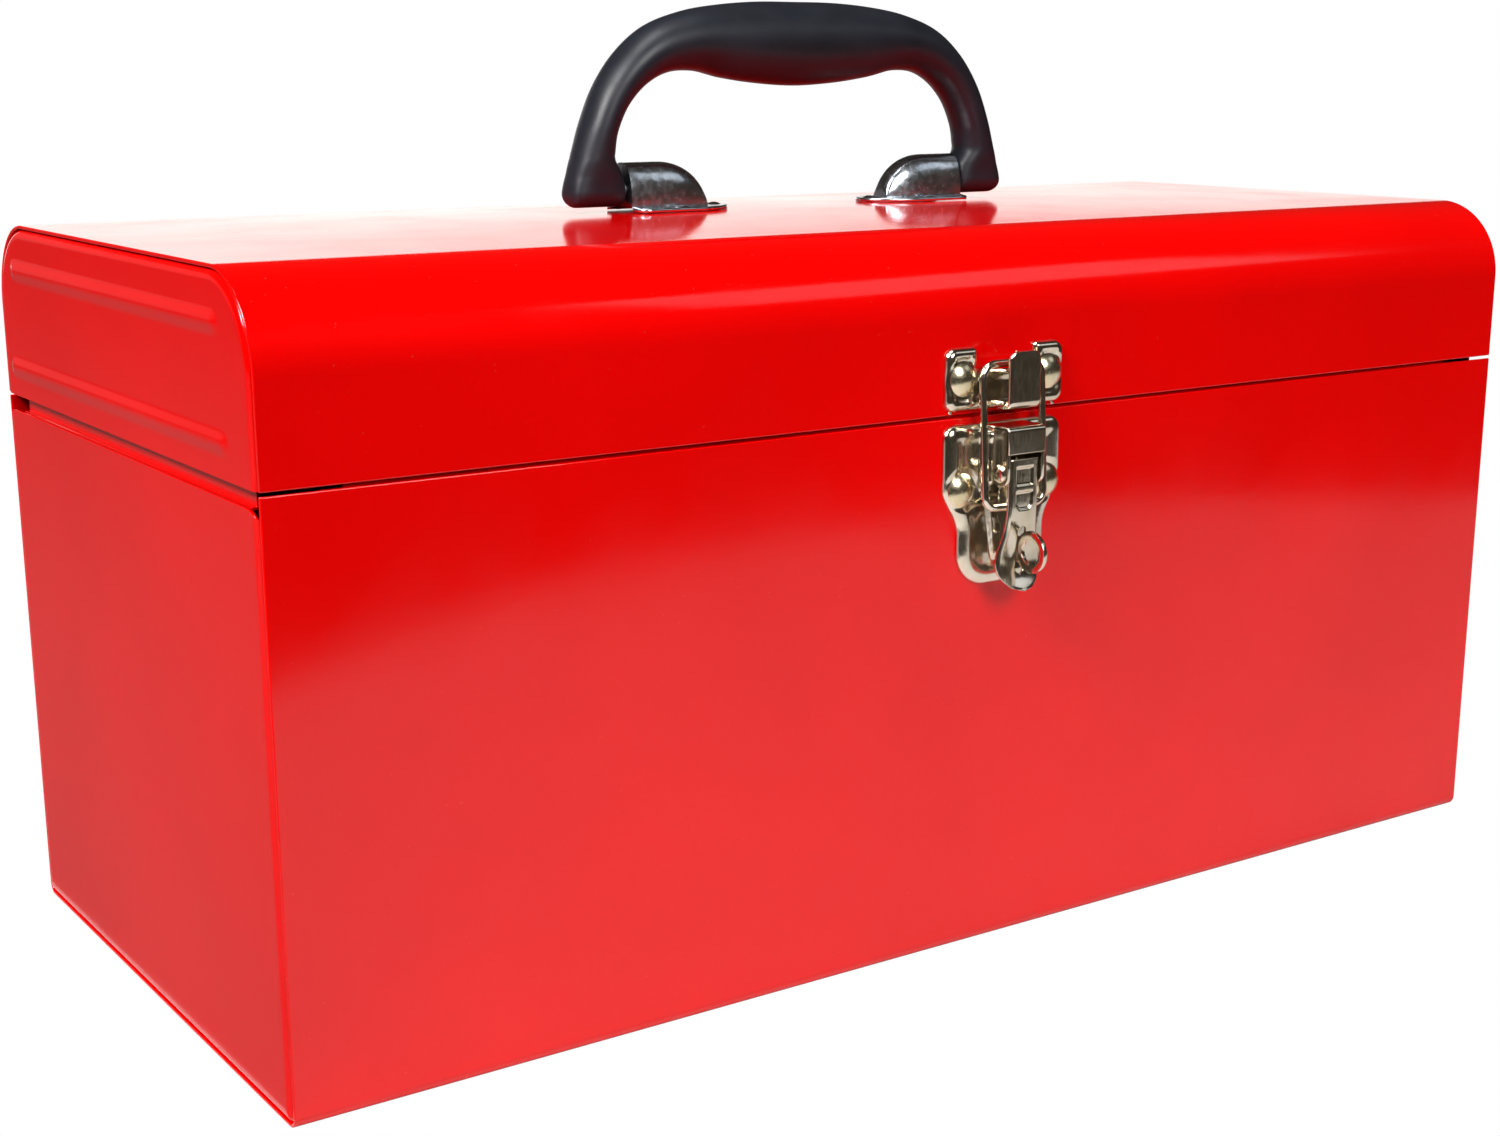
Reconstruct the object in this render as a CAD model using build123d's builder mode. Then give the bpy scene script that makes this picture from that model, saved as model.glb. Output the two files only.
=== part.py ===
from build123d import *
import math
import os

# Hand-carried steel tool box: a folded steel body, a crowned steel lid on a rear
# hinge, a folding carry handle and a draw latch with a padlock eye.
# Units are millimetres. X runs along the box, the front faces -Y, +Z is up and
# the origin is the middle of the underside.

# ---- box -------------------------------------------------------------------
LENGTH = 400.0            # outside, over the end panels
DEPTH = 180.0             # outside, over the front and back walls
SEAM_Z = 145.2            # top edge of the body
SEAM_GAP = 0.9            # gap between body and lid at the front
LID_TOP_Z = 192.2         # lid top where it meets the end panels
CROWN = 2.1               # how far the middle of the lid top bows up
SHEET = 0.9               # steel sheet thickness
LID_BEND = 22.0           # outside radius of the lid's long bends
BODY_BEND = 3.0           # outside radius of the body's long bends
END_BEND = 2.5            # outside radius where an end panel turns inwards
END_FLANGE = 12.0         # how far the end panel's flanges reach inwards
LID_EDGE_Z = SEAM_Z + SEAM_GAP
HALF_L = LENGTH / 2
WRAP_INSET = 0.5          # the wrapped sheets stop this far short of the end panels' faces
CUT = 20.0                # cutting depth that passes right through any sheet
FRONT = -DEPTH / 2
BACK = DEPTH / 2

# ---- rear hinge ------------------------------------------------------------
HINGE_LENGTH = 360.0
HINGE_Y = BACK + 2.6
HINGE_Z = SEAM_Z + SEAM_GAP / 2
HINGE_PIN_R = 1.2
HINGE_BORE_R = 1.25
KNUCKLE_R = 2.2
KNUCKLES = 15
KNUCKLE_GAP = 0.4
LEAF_T = 0.9
LEAF_HEIGHT = 19.0        # from the pin's axis to the leaf's far edge
LEAF_CLEAR = 0.65         # from the other leaf's knuckles to this leaf's near edge
LEAF_ROLL = 0.2           # extra thickness where the leaf turns into its knuckle
LEAF_RIVET_R = 3.0
LEAF_RIVET_H = 1.2
LEAF_RIVET_INSET = 6.0    # rivets' distance from the leaf's far edge

# ---- handle ----------------------------------------------------------------
HANDLE_AXIS_Z = 200.2
HANDLE_PIN_R = 1.9
HANDLE_BORE_R = 1.95      # the brackets' holes for the pins
PIN_IN_FOOT = 10.0        # how far each pin is pressed into its foot
PIN_IN_HOOD = 4.6         # how far each pin reaches into its bracket
FOOT_R = 4.5              # half height of the foot's oval section about the pin
FOOT_HALF_WIDTH = 5.7
FOOT_OUTER_X = 74.0
FOOT_INNER_X = 57.6
BRACKET_OUTER_X = 57.0
BRACKET_TOP_Z = 207.4
FLANGE_T = 1.1
FLANGE_Z = LID_TOP_Z + CROWN
# centreline points of one half of the grip, from its middle down to the foot:
# x, z, lean of the section from upright in degrees, half height across the
# centreline, half width front to back
GRIP_SECTIONS = [
    (0.0, 238.7, 0.0, 11.4, 11.0),
    (13.0, 239.0, 0.0, 11.0, 10.8),
    (25.0, 239.3, 2.0, 9.8, 10.2),
    (35.5, 239.4, 12.0, 8.0, 9.4),
    (45.3, 236.8, 28.0, 6.4, 8.6),
    (53.4, 231.7, 45.0, 5.4, 7.9),
    (59.8, 224.8, 60.0, 4.9, 7.2),
    (64.0, 216.8, 73.0, 4.8, 6.9),
    (66.0, 208.8, 80.0, 5.1, 6.6),
    (66.6, 200.2, 86.0, 6.4, 5.0),
]

# ---- latch -----------------------------------------------------------------
LATCH_X = 3.0             # latch centre along the box
PLATE_HALF = 19.6         # half width of the base plate and of the strike
PLATE_RISE = 2.0          # how far the plates' faces stand off the wall
PLATE_T = 1.0
PLATE_TOP_Z = 143.6
PLATE_SHOULDER_Z = 126.0
PLATE_WAIST = 14.6        # half width below the shoulders
PLATE_BOTTOM_Z = 100.6
RIVET_SPREAD = 14.2       # rivets each side of the latch centre
BASE_RIVET_Z = 126.6
STRIKE_RIVET_Z = 155.4
LATCH_RIVET_R = 4.6
LATCH_RIVET_H = 2.0
SHANK_R = 1.6
SHANK_HOLE_R = 1.65
LEVER_AXIS_Z = 131.0
LEVER_AXIS_OFF = 7.0      # pivot's distance from the wall
LEVER_PIN_R = 1.3
LEVER_PIN_HOLE_R = 1.35
EAR_OUT = 6.2             # outside half width over the pivot ears
EAR_T = 0.9
LEVER_HALF = 4.9          # half width of the lever between the ears
TAIL_HALF = 7.4           # half width of the lever's finger end
TAIL_TIP_Z = 100.2        # lowest point of the finger end
SLOT_HALF = 1.4           # half width of the lever's slot for the eye
BAIL_WIRE_R = 1.05
BAIL_HALF = 9.8           # half width between the bail's leg centres
BAIL_FOOT_Z = 122.0
BAIL_FOOT_OFF = 6.0
BAIL_TOP_Z = 159.0
BAIL_TOP_OFF = 3.6
BAIL_BEND = 3.2
BAIL_HOLE_R = 1.12
STRIKE_Z = (147.0, 163.4)
TONGUE_HALF = 5.2
TONGUE_Z = (147.6, 162.4)
TONGUE_OFF = (7.4, 9.4)   # inner and outer faces of the tongue from the wall
LEDGE_Z = 157.8           # top of the shelf that the bail pulls down on
EYE_R = 5.6
EYE_HOLE_R = 3.2
EYE_OFF = 13.2
EYE_Z = 110.7
EYE_T = 1.4

# planes whose local x is +X, whose local y is +Z, and whose local z is the
# distance in front of the box's front wall
FRONT_PLANE = Plane(origin=(LATCH_X, FRONT, 0), x_dir=(1, 0, 0), z_dir=(0, -1, 0))
# plane across the latch: local x is the distance from the wall, local y is +Z
SIDE_PLANE = Plane(origin=(LATCH_X, FRONT, 0), x_dir=(0, -1, 0), z_dir=(-1, 0, 0))


def front_place(x, z, off):
    """Plane facing forward at x from the latch centre, off in front of the wall."""
    return Plane(origin=(LATCH_X + x, FRONT - off, z), x_dir=(1, 0, 0), z_dir=(0, -1, 0))


def save(part, name):
    """Label a finished piece and write it under its own name."""
    part.label = name
    export_step(part, f"parts/{name}.step")


def dome_rivet(plane, head_r, head_h, grip, tail_r=2.4, tail_h=0.9):
    """A rivet on a plane: domed head in front, shank and set tail behind."""
    ball_r = (head_r ** 2 + head_h ** 2) / (2 * head_h)
    with BuildPart() as rivet:
        with BuildSketch(Plane.XZ) as half:
            with BuildLine():
                tip = (0, head_h)
                edge = (head_r, 0)
                RadiusArc(edge, tip, -ball_r)
                Polyline(
                    tip,
                    (0, -grip - tail_h),
                    (tail_r, -grip - tail_h),
                    (tail_r, -grip),
                    (SHANK_R, -grip),
                    (SHANK_R, 0),
                    edge,
                )
            make_face()
        revolve(axis=Axis.Z)
    return plane.from_local_coords(rivet.part)


os.makedirs("parts", exist_ok=True)
low_rivets = [(side * RIVET_SPREAD, BASE_RIVET_Z) for side in (-1, 1)]
high_rivets = [(side * RIVET_SPREAD, STRIKE_RIVET_Z) for side in (-1, 1)]
hinge_rivet_x = [-160.0, -80.0, 0.0, 80.0, 160.0]
leaf_rivet_off = LEAF_HEIGHT - LEAF_RIVET_INSET

# ---- body wrap: front, bottom and back from one sheet ------------------------
HEM = 10.0
HEM_INSET = 14.0          # the hem stops this far short of each end
with BuildPart() as body_wrap:
    with BuildSketch(Plane.YZ.offset(-HALF_L + WRAP_INSET)):
        with BuildLine():
            outer = FilletPolyline(
                (FRONT, SEAM_Z), (FRONT, 0), (BACK, 0), (BACK, SEAM_Z), radius=BODY_BEND
            )
            Line((BACK, SEAM_Z), (BACK - SHEET, SEAM_Z))
            FilletPolyline(
                (BACK - SHEET, SEAM_Z),
                (BACK - SHEET, SHEET),
                (FRONT + SHEET, SHEET),
                (FRONT + SHEET, SEAM_Z),
                radius=BODY_BEND - SHEET,
            )
            Line((FRONT + SHEET, SEAM_Z), (FRONT, SEAM_Z))
        make_face()
    extrude(amount=LENGTH - 2 * WRAP_INSET)
    # the front's top edge is folded back inside as a hem
    with BuildSketch(Plane.YZ.offset(-HALF_L + HEM_INSET)):
        with Locations((FRONT + 1.5 * SHEET, SEAM_Z - HEM / 2)):
            Rectangle(SHEET, HEM)
    extrude(amount=LENGTH - 2 * HEM_INSET)
    fillet(body_wrap.edges().filter_by(Axis.X).group_by(Axis.Z)[-1].sort_by(Axis.Y)[0], SHEET * 0.8)
    with BuildSketch(FRONT_PLANE.offset(-CUT / 2)):
        with Locations(*low_rivets):
            Circle(SHANK_HOLE_R)
    extrude(amount=CUT, mode=Mode.SUBTRACT)
    with BuildSketch(Plane.XZ.offset(-BACK - CUT / 2)):
        with Locations(*[(x, HINGE_Z - leaf_rivet_off) for x in hinge_rivet_x]):
            Circle(SHANK_HOLE_R)
    extrude(amount=CUT, mode=Mode.SUBTRACT)
save(body_wrap.part, "body_wrap")

# ---- rain lip: a strip inside the front hem that rises into the lid ----------
LIP_TOP_Z = 150.2
LIP_BOTTOM_Z = 134.0
LIP_INSET = 20.0
with BuildPart() as body_front_lip:
    with BuildSketch(Plane.YZ.offset(-HALF_L + LIP_INSET)):
        with Locations((FRONT + 2.5 * SHEET, (LIP_TOP_Z + LIP_BOTTOM_Z) / 2)):
            Rectangle(SHEET, LIP_TOP_Z - LIP_BOTTOM_Z)
    extrude(amount=LENGTH - 2 * LIP_INSET)
    fillet(body_front_lip.edges().filter_by(Axis.X).group_by(Axis.Z)[-1], 0.3)
save(body_front_lip.part, "body_front_lip")

# ---- body end panels: a tray with three flanges and a stepped lip on top -----
END_TOP_Z = 141.8
END_LIP_Z = 149.4
LIP_STEP = 2.1
LIP_SHORT = 5.0           # the lip stops this far short of the front and the back
with BuildPart() as body_end_left:
    with BuildSketch(Plane.YZ.offset(-HALF_L)):
        with BuildLine():
            FilletPolyline(
                (FRONT + SHEET, END_TOP_Z),
                (FRONT + SHEET, SHEET),
                (BACK - SHEET, SHEET),
                (BACK - SHEET, END_TOP_Z),
                radius=BODY_BEND - SHEET,
            )
            Line((BACK - SHEET, END_TOP_Z), (FRONT + SHEET, END_TOP_Z))
        make_face()
    extrude(amount=END_FLANGE)
    rim = body_end_left.edges().group_by(Axis.X)[0].group_by(Axis.Z)[:-1]
    fillet([edge for group in rim for edge in group], END_BEND)
    offset(
        amount=-SHEET,
        openings=[
            body_end_left.faces().sort_by(Axis.X)[-1],
            body_end_left.faces().sort_by(Axis.Z)[-1],
        ],
    )
    # the top edge steps inwards and rises as a lip inside the lid
    with BuildSketch(Plane.XZ.offset(BACK - LIP_SHORT)):
        with BuildLine():
            x0 = -HALF_L
            Polyline(
                (x0, END_TOP_Z - SHEET),
                (x0 + LIP_STEP + SHEET, END_TOP_Z - SHEET),
                (x0 + LIP_STEP + SHEET, END_LIP_Z),
                (x0 + LIP_STEP, END_LIP_Z),
                (x0 + LIP_STEP, END_TOP_Z),
                (x0, END_TOP_Z),
                close=True,
            )
        make_face()
    extrude(amount=-(DEPTH - 2 * LIP_SHORT))
    step_edge = body_end_left.edges().filter_by(Axis.Y).group_by(Axis.X)[0].sort_by(Axis.Z)[-1]
    fillet(step_edge, SHEET * 0.7)
save(body_end_left.part, "body_end_left")

with BuildPart() as body_end_right:
    mirror(body_end_left.part, about=Plane.YZ)
save(body_end_right.part, "body_end_right")


# ---- lid wrap: front, crowned top and back from one sheet --------------------
def lid_section(x, crown):
    """Thin inverted-U section of the lid at x, its top bowed up by crown."""
    corner = LID_BEND
    inner = LID_BEND - SHEET
    side_z = LID_TOP_Z - corner
    flat_y = BACK - corner
    diag = math.sqrt(0.5)
    with BuildSketch(Plane.YZ.offset(x)) as section:
        with BuildLine():
            for reach, top_z, bend in ((BACK, LID_TOP_Z, corner), (BACK - SHEET, LID_TOP_Z - SHEET, inner)):
                Line((-reach, LID_EDGE_Z), (-reach, side_z))
                ThreePointArc(
                    (-reach, side_z),
                    (-flat_y - bend * diag, side_z + bend * diag),
                    (-flat_y, top_z),
                )
                ThreePointArc((-flat_y, top_z), (0, top_z + crown), (flat_y, top_z))
                ThreePointArc(
                    (flat_y, top_z),
                    (flat_y + bend * diag, side_z + bend * diag),
                    (reach, side_z),
                )
                Line((reach, side_z), (reach, LID_EDGE_Z))
            Line((-BACK, LID_EDGE_Z), (-BACK + SHEET, LID_EDGE_Z))
            Line((BACK, LID_EDGE_Z), (BACK - SHEET, LID_EDGE_Z))
        make_face()
    return section.sketch


BRACKET_RIVETS = [(27.2, 0.0), (43.0, 8.3), (43.0, -8.3)]   # distance from centre, y
FLAT_CROWN = 0.02
with BuildPart() as lid_wrap:
    lid_half = HALF_L - WRAP_INSET
    loft(
        sections=[
            lid_section(-lid_half, FLAT_CROWN),
            lid_section(0, CROWN),
            lid_section(lid_half, FLAT_CROWN),
        ]
    )
    with BuildSketch(FRONT_PLANE.offset(-CUT / 2)):
        with Locations(*high_rivets):
            Circle(SHANK_HOLE_R)
    extrude(amount=CUT, mode=Mode.SUBTRACT)
    with BuildSketch(Plane.XZ.offset(-BACK - CUT / 2)):
        with Locations(*[(x, HINGE_Z + leaf_rivet_off) for x in hinge_rivet_x]):
            Circle(SHANK_HOLE_R)
    extrude(amount=CUT, mode=Mode.SUBTRACT)
    with BuildSketch(Plane.XY.offset(LID_TOP_Z - CUT / 2)):
        with Locations(*[(side * x, y) for side in (-1, 1) for x, y in BRACKET_RIVETS]):
            Circle(SHANK_HOLE_R)
    extrude(amount=CUT, mode=Mode.SUBTRACT)
save(lid_wrap.part, "lid_wrap")

# ---- lid end panels: flanged inwards, two beads pressed outwards -------------
BEAD_WIDTH = 5.6
BEAD_RISE = 1.3
BEADS = ((2.5, 180.0, 151.0), (4.5, 154.0, 159.0))   # centre y, z, length
with BuildPart() as lid_end_left:
    with BuildSketch(Plane.YZ.offset(-HALF_L)):
        with BuildLine():
            inner_bend = LID_BEND - SHEET
            reach = BACK - SHEET
            top = LID_TOP_Z - SHEET
            FilletPolyline(
                (-reach, LID_EDGE_Z), (-reach, top), (reach, top), (reach, LID_EDGE_Z), radius=inner_bend
            )
            Line((reach, LID_EDGE_Z), (-reach, LID_EDGE_Z))
        make_face()
    extrude(amount=END_FLANGE)
    rim = lid_end_left.edges().group_by(Axis.X)[0].group_by(Axis.Z)[1:]
    fillet([edge for group in rim for edge in group], END_BEND)
    offset(
        amount=-SHEET,
        openings=[
            lid_end_left.faces().sort_by(Axis.X)[-1],
            lid_end_left.faces().sort_by(Axis.Z)[0],
        ],
    )
    for bead_y, bead_z, bead_length in BEADS:
        with BuildSketch(Plane.YZ.offset(-HALF_L)):
            with Locations((bead_y, bead_z)):
                SlotOverall(bead_length, BEAD_WIDTH)
        extrude(amount=-BEAD_RISE, taper=35)
        with BuildSketch(Plane.YZ.offset(-HALF_L + SHEET)):
            with Locations((bead_y, bead_z)):
                SlotOverall(bead_length - 2, BEAD_WIDTH - 2)
        extrude(amount=-BEAD_RISE, taper=35, mode=Mode.SUBTRACT)
save(lid_end_left.part, "lid_end_left")

with BuildPart() as lid_end_right:
    mirror(lid_end_left.part, about=Plane.YZ)
save(lid_end_right.part, "lid_end_right")


# ---- rear hinge --------------------------------------------------------------
def hinge_leaf(direction, first):
    """One leaf: a strip against the back, every other knuckle rolled on it.

    direction is -1 for the leaf that hangs down and +1 for the one that stands up.
    """
    pitch = HINGE_LENGTH / KNUCKLES
    near = HINGE_Z + direction * (KNUCKLE_R + LEAF_CLEAR)
    far = HINGE_Z + direction * LEAF_HEIGHT
    with BuildPart() as leaf:
        with BuildSketch(Plane.YZ.offset(-HINGE_LENGTH / 2)):
            with Locations((BACK + LEAF_T / 2, (near + far) / 2)):
                Rectangle(LEAF_T, abs(far - near))
        extrude(amount=HINGE_LENGTH)
        for index in range(first, KNUCKLES, 2):
            start = -HINGE_LENGTH / 2 + index * pitch + KNUCKLE_GAP / 2
            with BuildSketch(Plane.YZ.offset(start)):
                with BuildLine():
                    tangent_y = HINGE_Y - KNUCKLE_R
                    Polyline(
                        (BACK, near),
                        (BACK + LEAF_T, near),
                        (tangent_y + LEAF_T + LEAF_ROLL, HINGE_Z),
                        (tangent_y, HINGE_Z),
                        close=True,
                    )
                make_face()
                with Locations((HINGE_Y, HINGE_Z)):
                    Circle(KNUCKLE_R)
                    Circle(HINGE_BORE_R, mode=Mode.SUBTRACT)
            extrude(amount=pitch - KNUCKLE_GAP)
        with BuildSketch(Plane.XZ.offset(-BACK - CUT / 2)):
            with Locations(*[(x, HINGE_Z + direction * leaf_rivet_off) for x in hinge_rivet_x]):
                Circle(SHANK_HOLE_R)
        extrude(amount=CUT, mode=Mode.SUBTRACT)
    return leaf.part


save(hinge_leaf(-1, 0), "hinge_leaf_body")
save(hinge_leaf(1, 1), "hinge_leaf_lid")

with BuildPart() as hinge_pin:
    with BuildSketch(Plane.YZ.offset(-HINGE_LENGTH / 2)):
        with Locations((HINGE_Y, HINGE_Z)):
            Circle(HINGE_PIN_R)
    extrude(amount=HINGE_LENGTH)
save(hinge_pin.part, "hinge_pin")


def leaf_rivets(direction):
    """The five rivets that hold one hinge leaf to its wall."""
    z = HINGE_Z + direction * leaf_rivet_off
    places = [
        Plane(origin=(x, BACK + LEAF_T, z), x_dir=(-1, 0, 0), z_dir=(0, 1, 0)) for x in hinge_rivet_x
    ]
    return Compound([dome_rivet(place, LEAF_RIVET_R, LEAF_RIVET_H, LEAF_T + SHEET) for place in places])


save(leaf_rivets(-1), "hinge_rivets_body")
save(leaf_rivets(1), "hinge_rivets_lid")

# ---- handle brackets: a hood on a riveted flange ------------------------------
HOOD_HALF = 5.8
HOOD_FLAT = 11.0          # straight part of the hood's top
HOOD_NOSE = 15.0          # length of the curved nose
HOOD_T = 1.0
HOOD_ROUND = 3.8          # rounding along the hood's crest
FLANGE_HALF = 10.8        # half width of the flange beside the hood
FLANGE_TURN_X = 38.0      # where the flange starts to narrow
FLANGE_SHOULDER_X = 28.5  # where its rounded tip starts
FLANGE_TIP_X = 24.0
FLANGE_TIP_HALF = 4.6     # half width at the start of the tip
FLANGE_CORNER = 3.0
BRACKET_RIVET_R = 2.1
BRACKET_RIVET_H = 1.0
TAIL_SLACK = 0.3          # the set tails stand this far under the crowned sheet


def hood(shrink):
    """Blind hood on the left bracket, smaller all round by shrink."""
    start_x = -BRACKET_OUTER_X + shrink
    flat_x = -BRACKET_OUTER_X + HOOD_FLAT
    nose_x = flat_x + HOOD_NOSE - shrink
    top_z = BRACKET_TOP_Z - shrink
    with BuildPart() as shape:
        with BuildSketch(Plane.XZ.offset(-(HOOD_HALF - shrink))):
            with BuildLine():
                Polyline((nose_x, FLANGE_Z), (start_x, FLANGE_Z), (start_x, top_z), (flat_x, top_z))
                EllipticalCenterArc(
                    (flat_x, FLANGE_Z),
                    HOOD_NOSE - shrink,
                    top_z - FLANGE_Z,
                    start_angle=0,
                    arc_size=90,
                )
            make_face()
        extrude(amount=2 * (HOOD_HALF - shrink))
        crest = shape.edges().filter_by(Axis.X).group_by(Axis.Z)[-1]
        nose = shape.edges().filter_by(GeomType.ELLIPSE)
        fillet(crest + nose, HOOD_ROUND - shrink)
    return shape.part


outer_hood = hood(0.0)
inner_hood = hood(HOOD_T)
with BuildPart() as handle_bracket_left:
    with BuildSketch(Plane.XY.offset(FLANGE_Z)):
        with BuildLine():
            Line((-BRACKET_OUTER_X, -FLANGE_HALF), (-BRACKET_OUTER_X, FLANGE_HALF))
            for side in (-1, 1):
                turn_in = (-FLANGE_TURN_X, side * FLANGE_HALF)
                shoulder = (-FLANGE_SHOULDER_X, side * FLANGE_TIP_HALF)
                Line((-BRACKET_OUTER_X, side * FLANGE_HALF), turn_in)
                TangentArc(turn_in, shoulder, tangent=(1, 0))
            ThreePointArc(
                (-FLANGE_SHOULDER_X, FLANGE_TIP_HALF),
                (-FLANGE_TIP_X, 0),
                (-FLANGE_SHOULDER_X, -FLANGE_TIP_HALF),
            )
        make_face()
    extrude(amount=FLANGE_T)
    fillet(handle_bracket_left.edges().filter_by(Axis.Z).group_by(Axis.X)[0], FLANGE_CORNER)
    add(outer_hood)
    add(inner_hood, mode=Mode.SUBTRACT)
    with BuildSketch(Plane.YZ.offset(-BRACKET_OUTER_X - HOOD_T)):
        with Locations((0, HANDLE_AXIS_Z)):
            Circle(HANDLE_BORE_R)
    extrude(amount=3 * HOOD_T, mode=Mode.SUBTRACT)
    with BuildSketch(Plane.XY.offset(FLANGE_Z)):
        with Locations(*[(-x, y) for x, y in BRACKET_RIVETS]):
            Circle(SHANK_HOLE_R)
    extrude(amount=FLANGE_T, mode=Mode.SUBTRACT)
save(handle_bracket_left.part, "handle_bracket_left")

with BuildPart() as handle_bracket_right:
    mirror(handle_bracket_left.part, about=Plane.YZ)
save(handle_bracket_right.part, "handle_bracket_right")

bracket_places = [
    Plane(origin=(side * x, y, FLANGE_Z + FLANGE_T), z_dir=(0, 0, 1))
    for side in (-1, 1)
    for x, y in BRACKET_RIVETS
]
bracket_rivets = Compound(
    [
        dome_rivet(
            place, BRACKET_RIVET_R, BRACKET_RIVET_H, FLANGE_T + SHEET + TAIL_SLACK, tail_r=BRACKET_RIVET_R
        )
        for place in bracket_places
    ]
)
save(bracket_rivets, "bracket_rivets")

# ---- carry handle --------------------------------------------------------------
with BuildPart() as handle_grip:
    stations = [(-x, z, -lean, a, b) for x, z, lean, a, b in reversed(GRIP_SECTIONS[1:])] + GRIP_SECTIONS
    for x, z, lean, half_height, half_width in stations:
        turn = math.radians(lean)
        along = (math.cos(turn), 0, -math.sin(turn))
        with BuildSketch(Plane(origin=(x, 0, z), x_dir=(0, 1, 0), z_dir=along)):
            Ellipse(half_width, half_height)
    loft()
    # each foot is an oval about the pin and reaches in to its bracket
    for side in (-1, 1):
        with BuildSketch(Plane.YZ.offset(side * FOOT_INNER_X)):
            with Locations((0, HANDLE_AXIS_Z)):
                Ellipse(FOOT_HALF_WIDTH, FOOT_R)
        extrude(amount=side * (FOOT_OUTER_X - FOOT_INNER_X))
    for side in (-1, 1):
        with BuildSketch(Plane.YZ.offset(side * FOOT_INNER_X)):
            with Locations((0, HANDLE_AXIS_Z)):
                Circle(HANDLE_PIN_R)
        extrude(amount=side * PIN_IN_FOOT, mode=Mode.SUBTRACT)
save(handle_grip.part, "handle_grip")

handle_pin_solids = []
for side in (-1, 1):
    with BuildPart() as handle_pin:
        with BuildSketch(Plane.YZ.offset(side * (FOOT_INNER_X - PIN_IN_HOOD))):
            with Locations((0, HANDLE_AXIS_Z)):
                Circle(HANDLE_PIN_R)
        extrude(amount=side * (PIN_IN_HOOD + PIN_IN_FOOT))
    handle_pin_solids.append(handle_pin.part)
save(Compound(handle_pin_solids), "handle_pins")

# ---- latch base plate: a dished plate with two pivot ears and a bridge ---------
FOOT_RIVET_Z = PLATE_BOTTOM_Z + 4.2
BRIDGE_BOTTOM_Z = 136.2
BRIDGE_TOP_Z = 143.2
BRIDGE_OFF = 10.2
BRIDGE_T = 1.0
FOOT_RIVET_R = 2.0
FOOT_RIVET_H = 0.8
FOOT_TAIL_R = 1.9
EYE_SHANK = 6.8           # height of the eye's shank through the plate
EYE_SLOT = 7.0            # height of the plate's slot for it
PLATE_ROUND = 1.2         # rounding round the plates' faces
EAR_ROUND = 3.6           # rounding of the ears below the pivot
EAR_DROP = 3.4            # the ears' reach below the pivot, at the front
EAR_ROOT = 4.6            # and where they meet the plate
EAR_SHOULDER = 1.6


def plate_outline(inset):
    """Corners of the base plate from its top right round to its top left, and
    the radius at each: square-shouldered on top, waisted, round below."""
    half = PLATE_HALF - inset
    waist = PLATE_WAIST - inset
    top_z = PLATE_TOP_Z - inset
    bottom_z = PLATE_BOTTOM_Z + inset
    right = [
        (half, top_z, 3.6 - 0.8 * inset),
        (half, PLATE_SHOULDER_Z, 7.0),
        (waist, PLATE_SHOULDER_Z - 9.0, 9.0),
        (waist, bottom_z, 9.5 - inset),
    ]
    left = [(-x, z, radius) for x, z, radius in reversed(right)]
    return right + left


with BuildPart() as latch_base_plate:
    with BuildSketch(FRONT_PLANE):
        with BuildLine():
            corners = plate_outline(0.0)
            FilletPolyline(*[(x, z) for x, z, r in corners], radius=[r for x, z, r in corners], close=True)
        make_face()
    extrude(amount=PLATE_RISE)
    fillet(latch_base_plate.edges().group_by(Axis.Y)[0], PLATE_ROUND)
    with BuildSketch(FRONT_PLANE):
        with BuildLine():
            corners = plate_outline(PLATE_T)
            FilletPolyline(*[(x, z) for x, z, r in corners], radius=[r for x, z, r in corners], close=True)
        make_face()
    extrude(amount=PLATE_RISE - PLATE_T, mode=Mode.SUBTRACT)
    # ears each side of the lever, joined above it by the bridge
    for side in (-1, 1):
        with BuildSketch(SIDE_PLANE.offset(side * (EAR_OUT - EAR_T / 2) - EAR_T / 2)):
            with BuildLine():
                heel = (LEVER_AXIS_OFF, LEVER_AXIS_Z - EAR_DROP)
                shoulder = (BRIDGE_OFF, LEVER_AXIS_Z + EAR_SHOULDER)
                Polyline(
                    heel,
                    (PLATE_T, LEVER_AXIS_Z - EAR_ROOT),
                    (PLATE_T, BRIDGE_TOP_Z),
                    (BRIDGE_OFF, BRIDGE_TOP_Z),
                    shoulder,
                )
                RadiusArc(shoulder, heel, EAR_ROUND)
            make_face()
            with Locations((LEVER_AXIS_OFF, LEVER_AXIS_Z)):
                Circle(LEVER_PIN_HOLE_R, mode=Mode.SUBTRACT)
        extrude(amount=EAR_T)
    with BuildSketch(SIDE_PLANE.offset(-EAR_OUT)):
        with Locations((BRIDGE_OFF - BRIDGE_T / 2, (BRIDGE_TOP_Z + BRIDGE_BOTTOM_Z) / 2)):
            Rectangle(BRIDGE_T, BRIDGE_TOP_Z - BRIDGE_BOTTOM_Z)
        with Locations(((BRIDGE_OFF + PLATE_T) / 2, BRIDGE_TOP_Z - BRIDGE_T / 2)):
            Rectangle(BRIDGE_OFF - PLATE_T, BRIDGE_T)
    extrude(amount=2 * EAR_OUT)
    corner = latch_base_plate.edges().filter_by(Axis.X).group_by(Axis.Y)[0].sort_by(Axis.Z)[-1]
    fillet(corner, 0.8)
    with BuildSketch(FRONT_PLANE):
        with Locations(*low_rivets, (0, FOOT_RIVET_Z)):
            Circle(SHANK_HOLE_R)
        with Locations((0, EYE_Z)):
            Rectangle(EYE_T, EYE_SLOT)
    extrude(amount=PLATE_RISE, mode=Mode.SUBTRACT)
save(latch_base_plate.part, "latch_base_plate")

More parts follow.
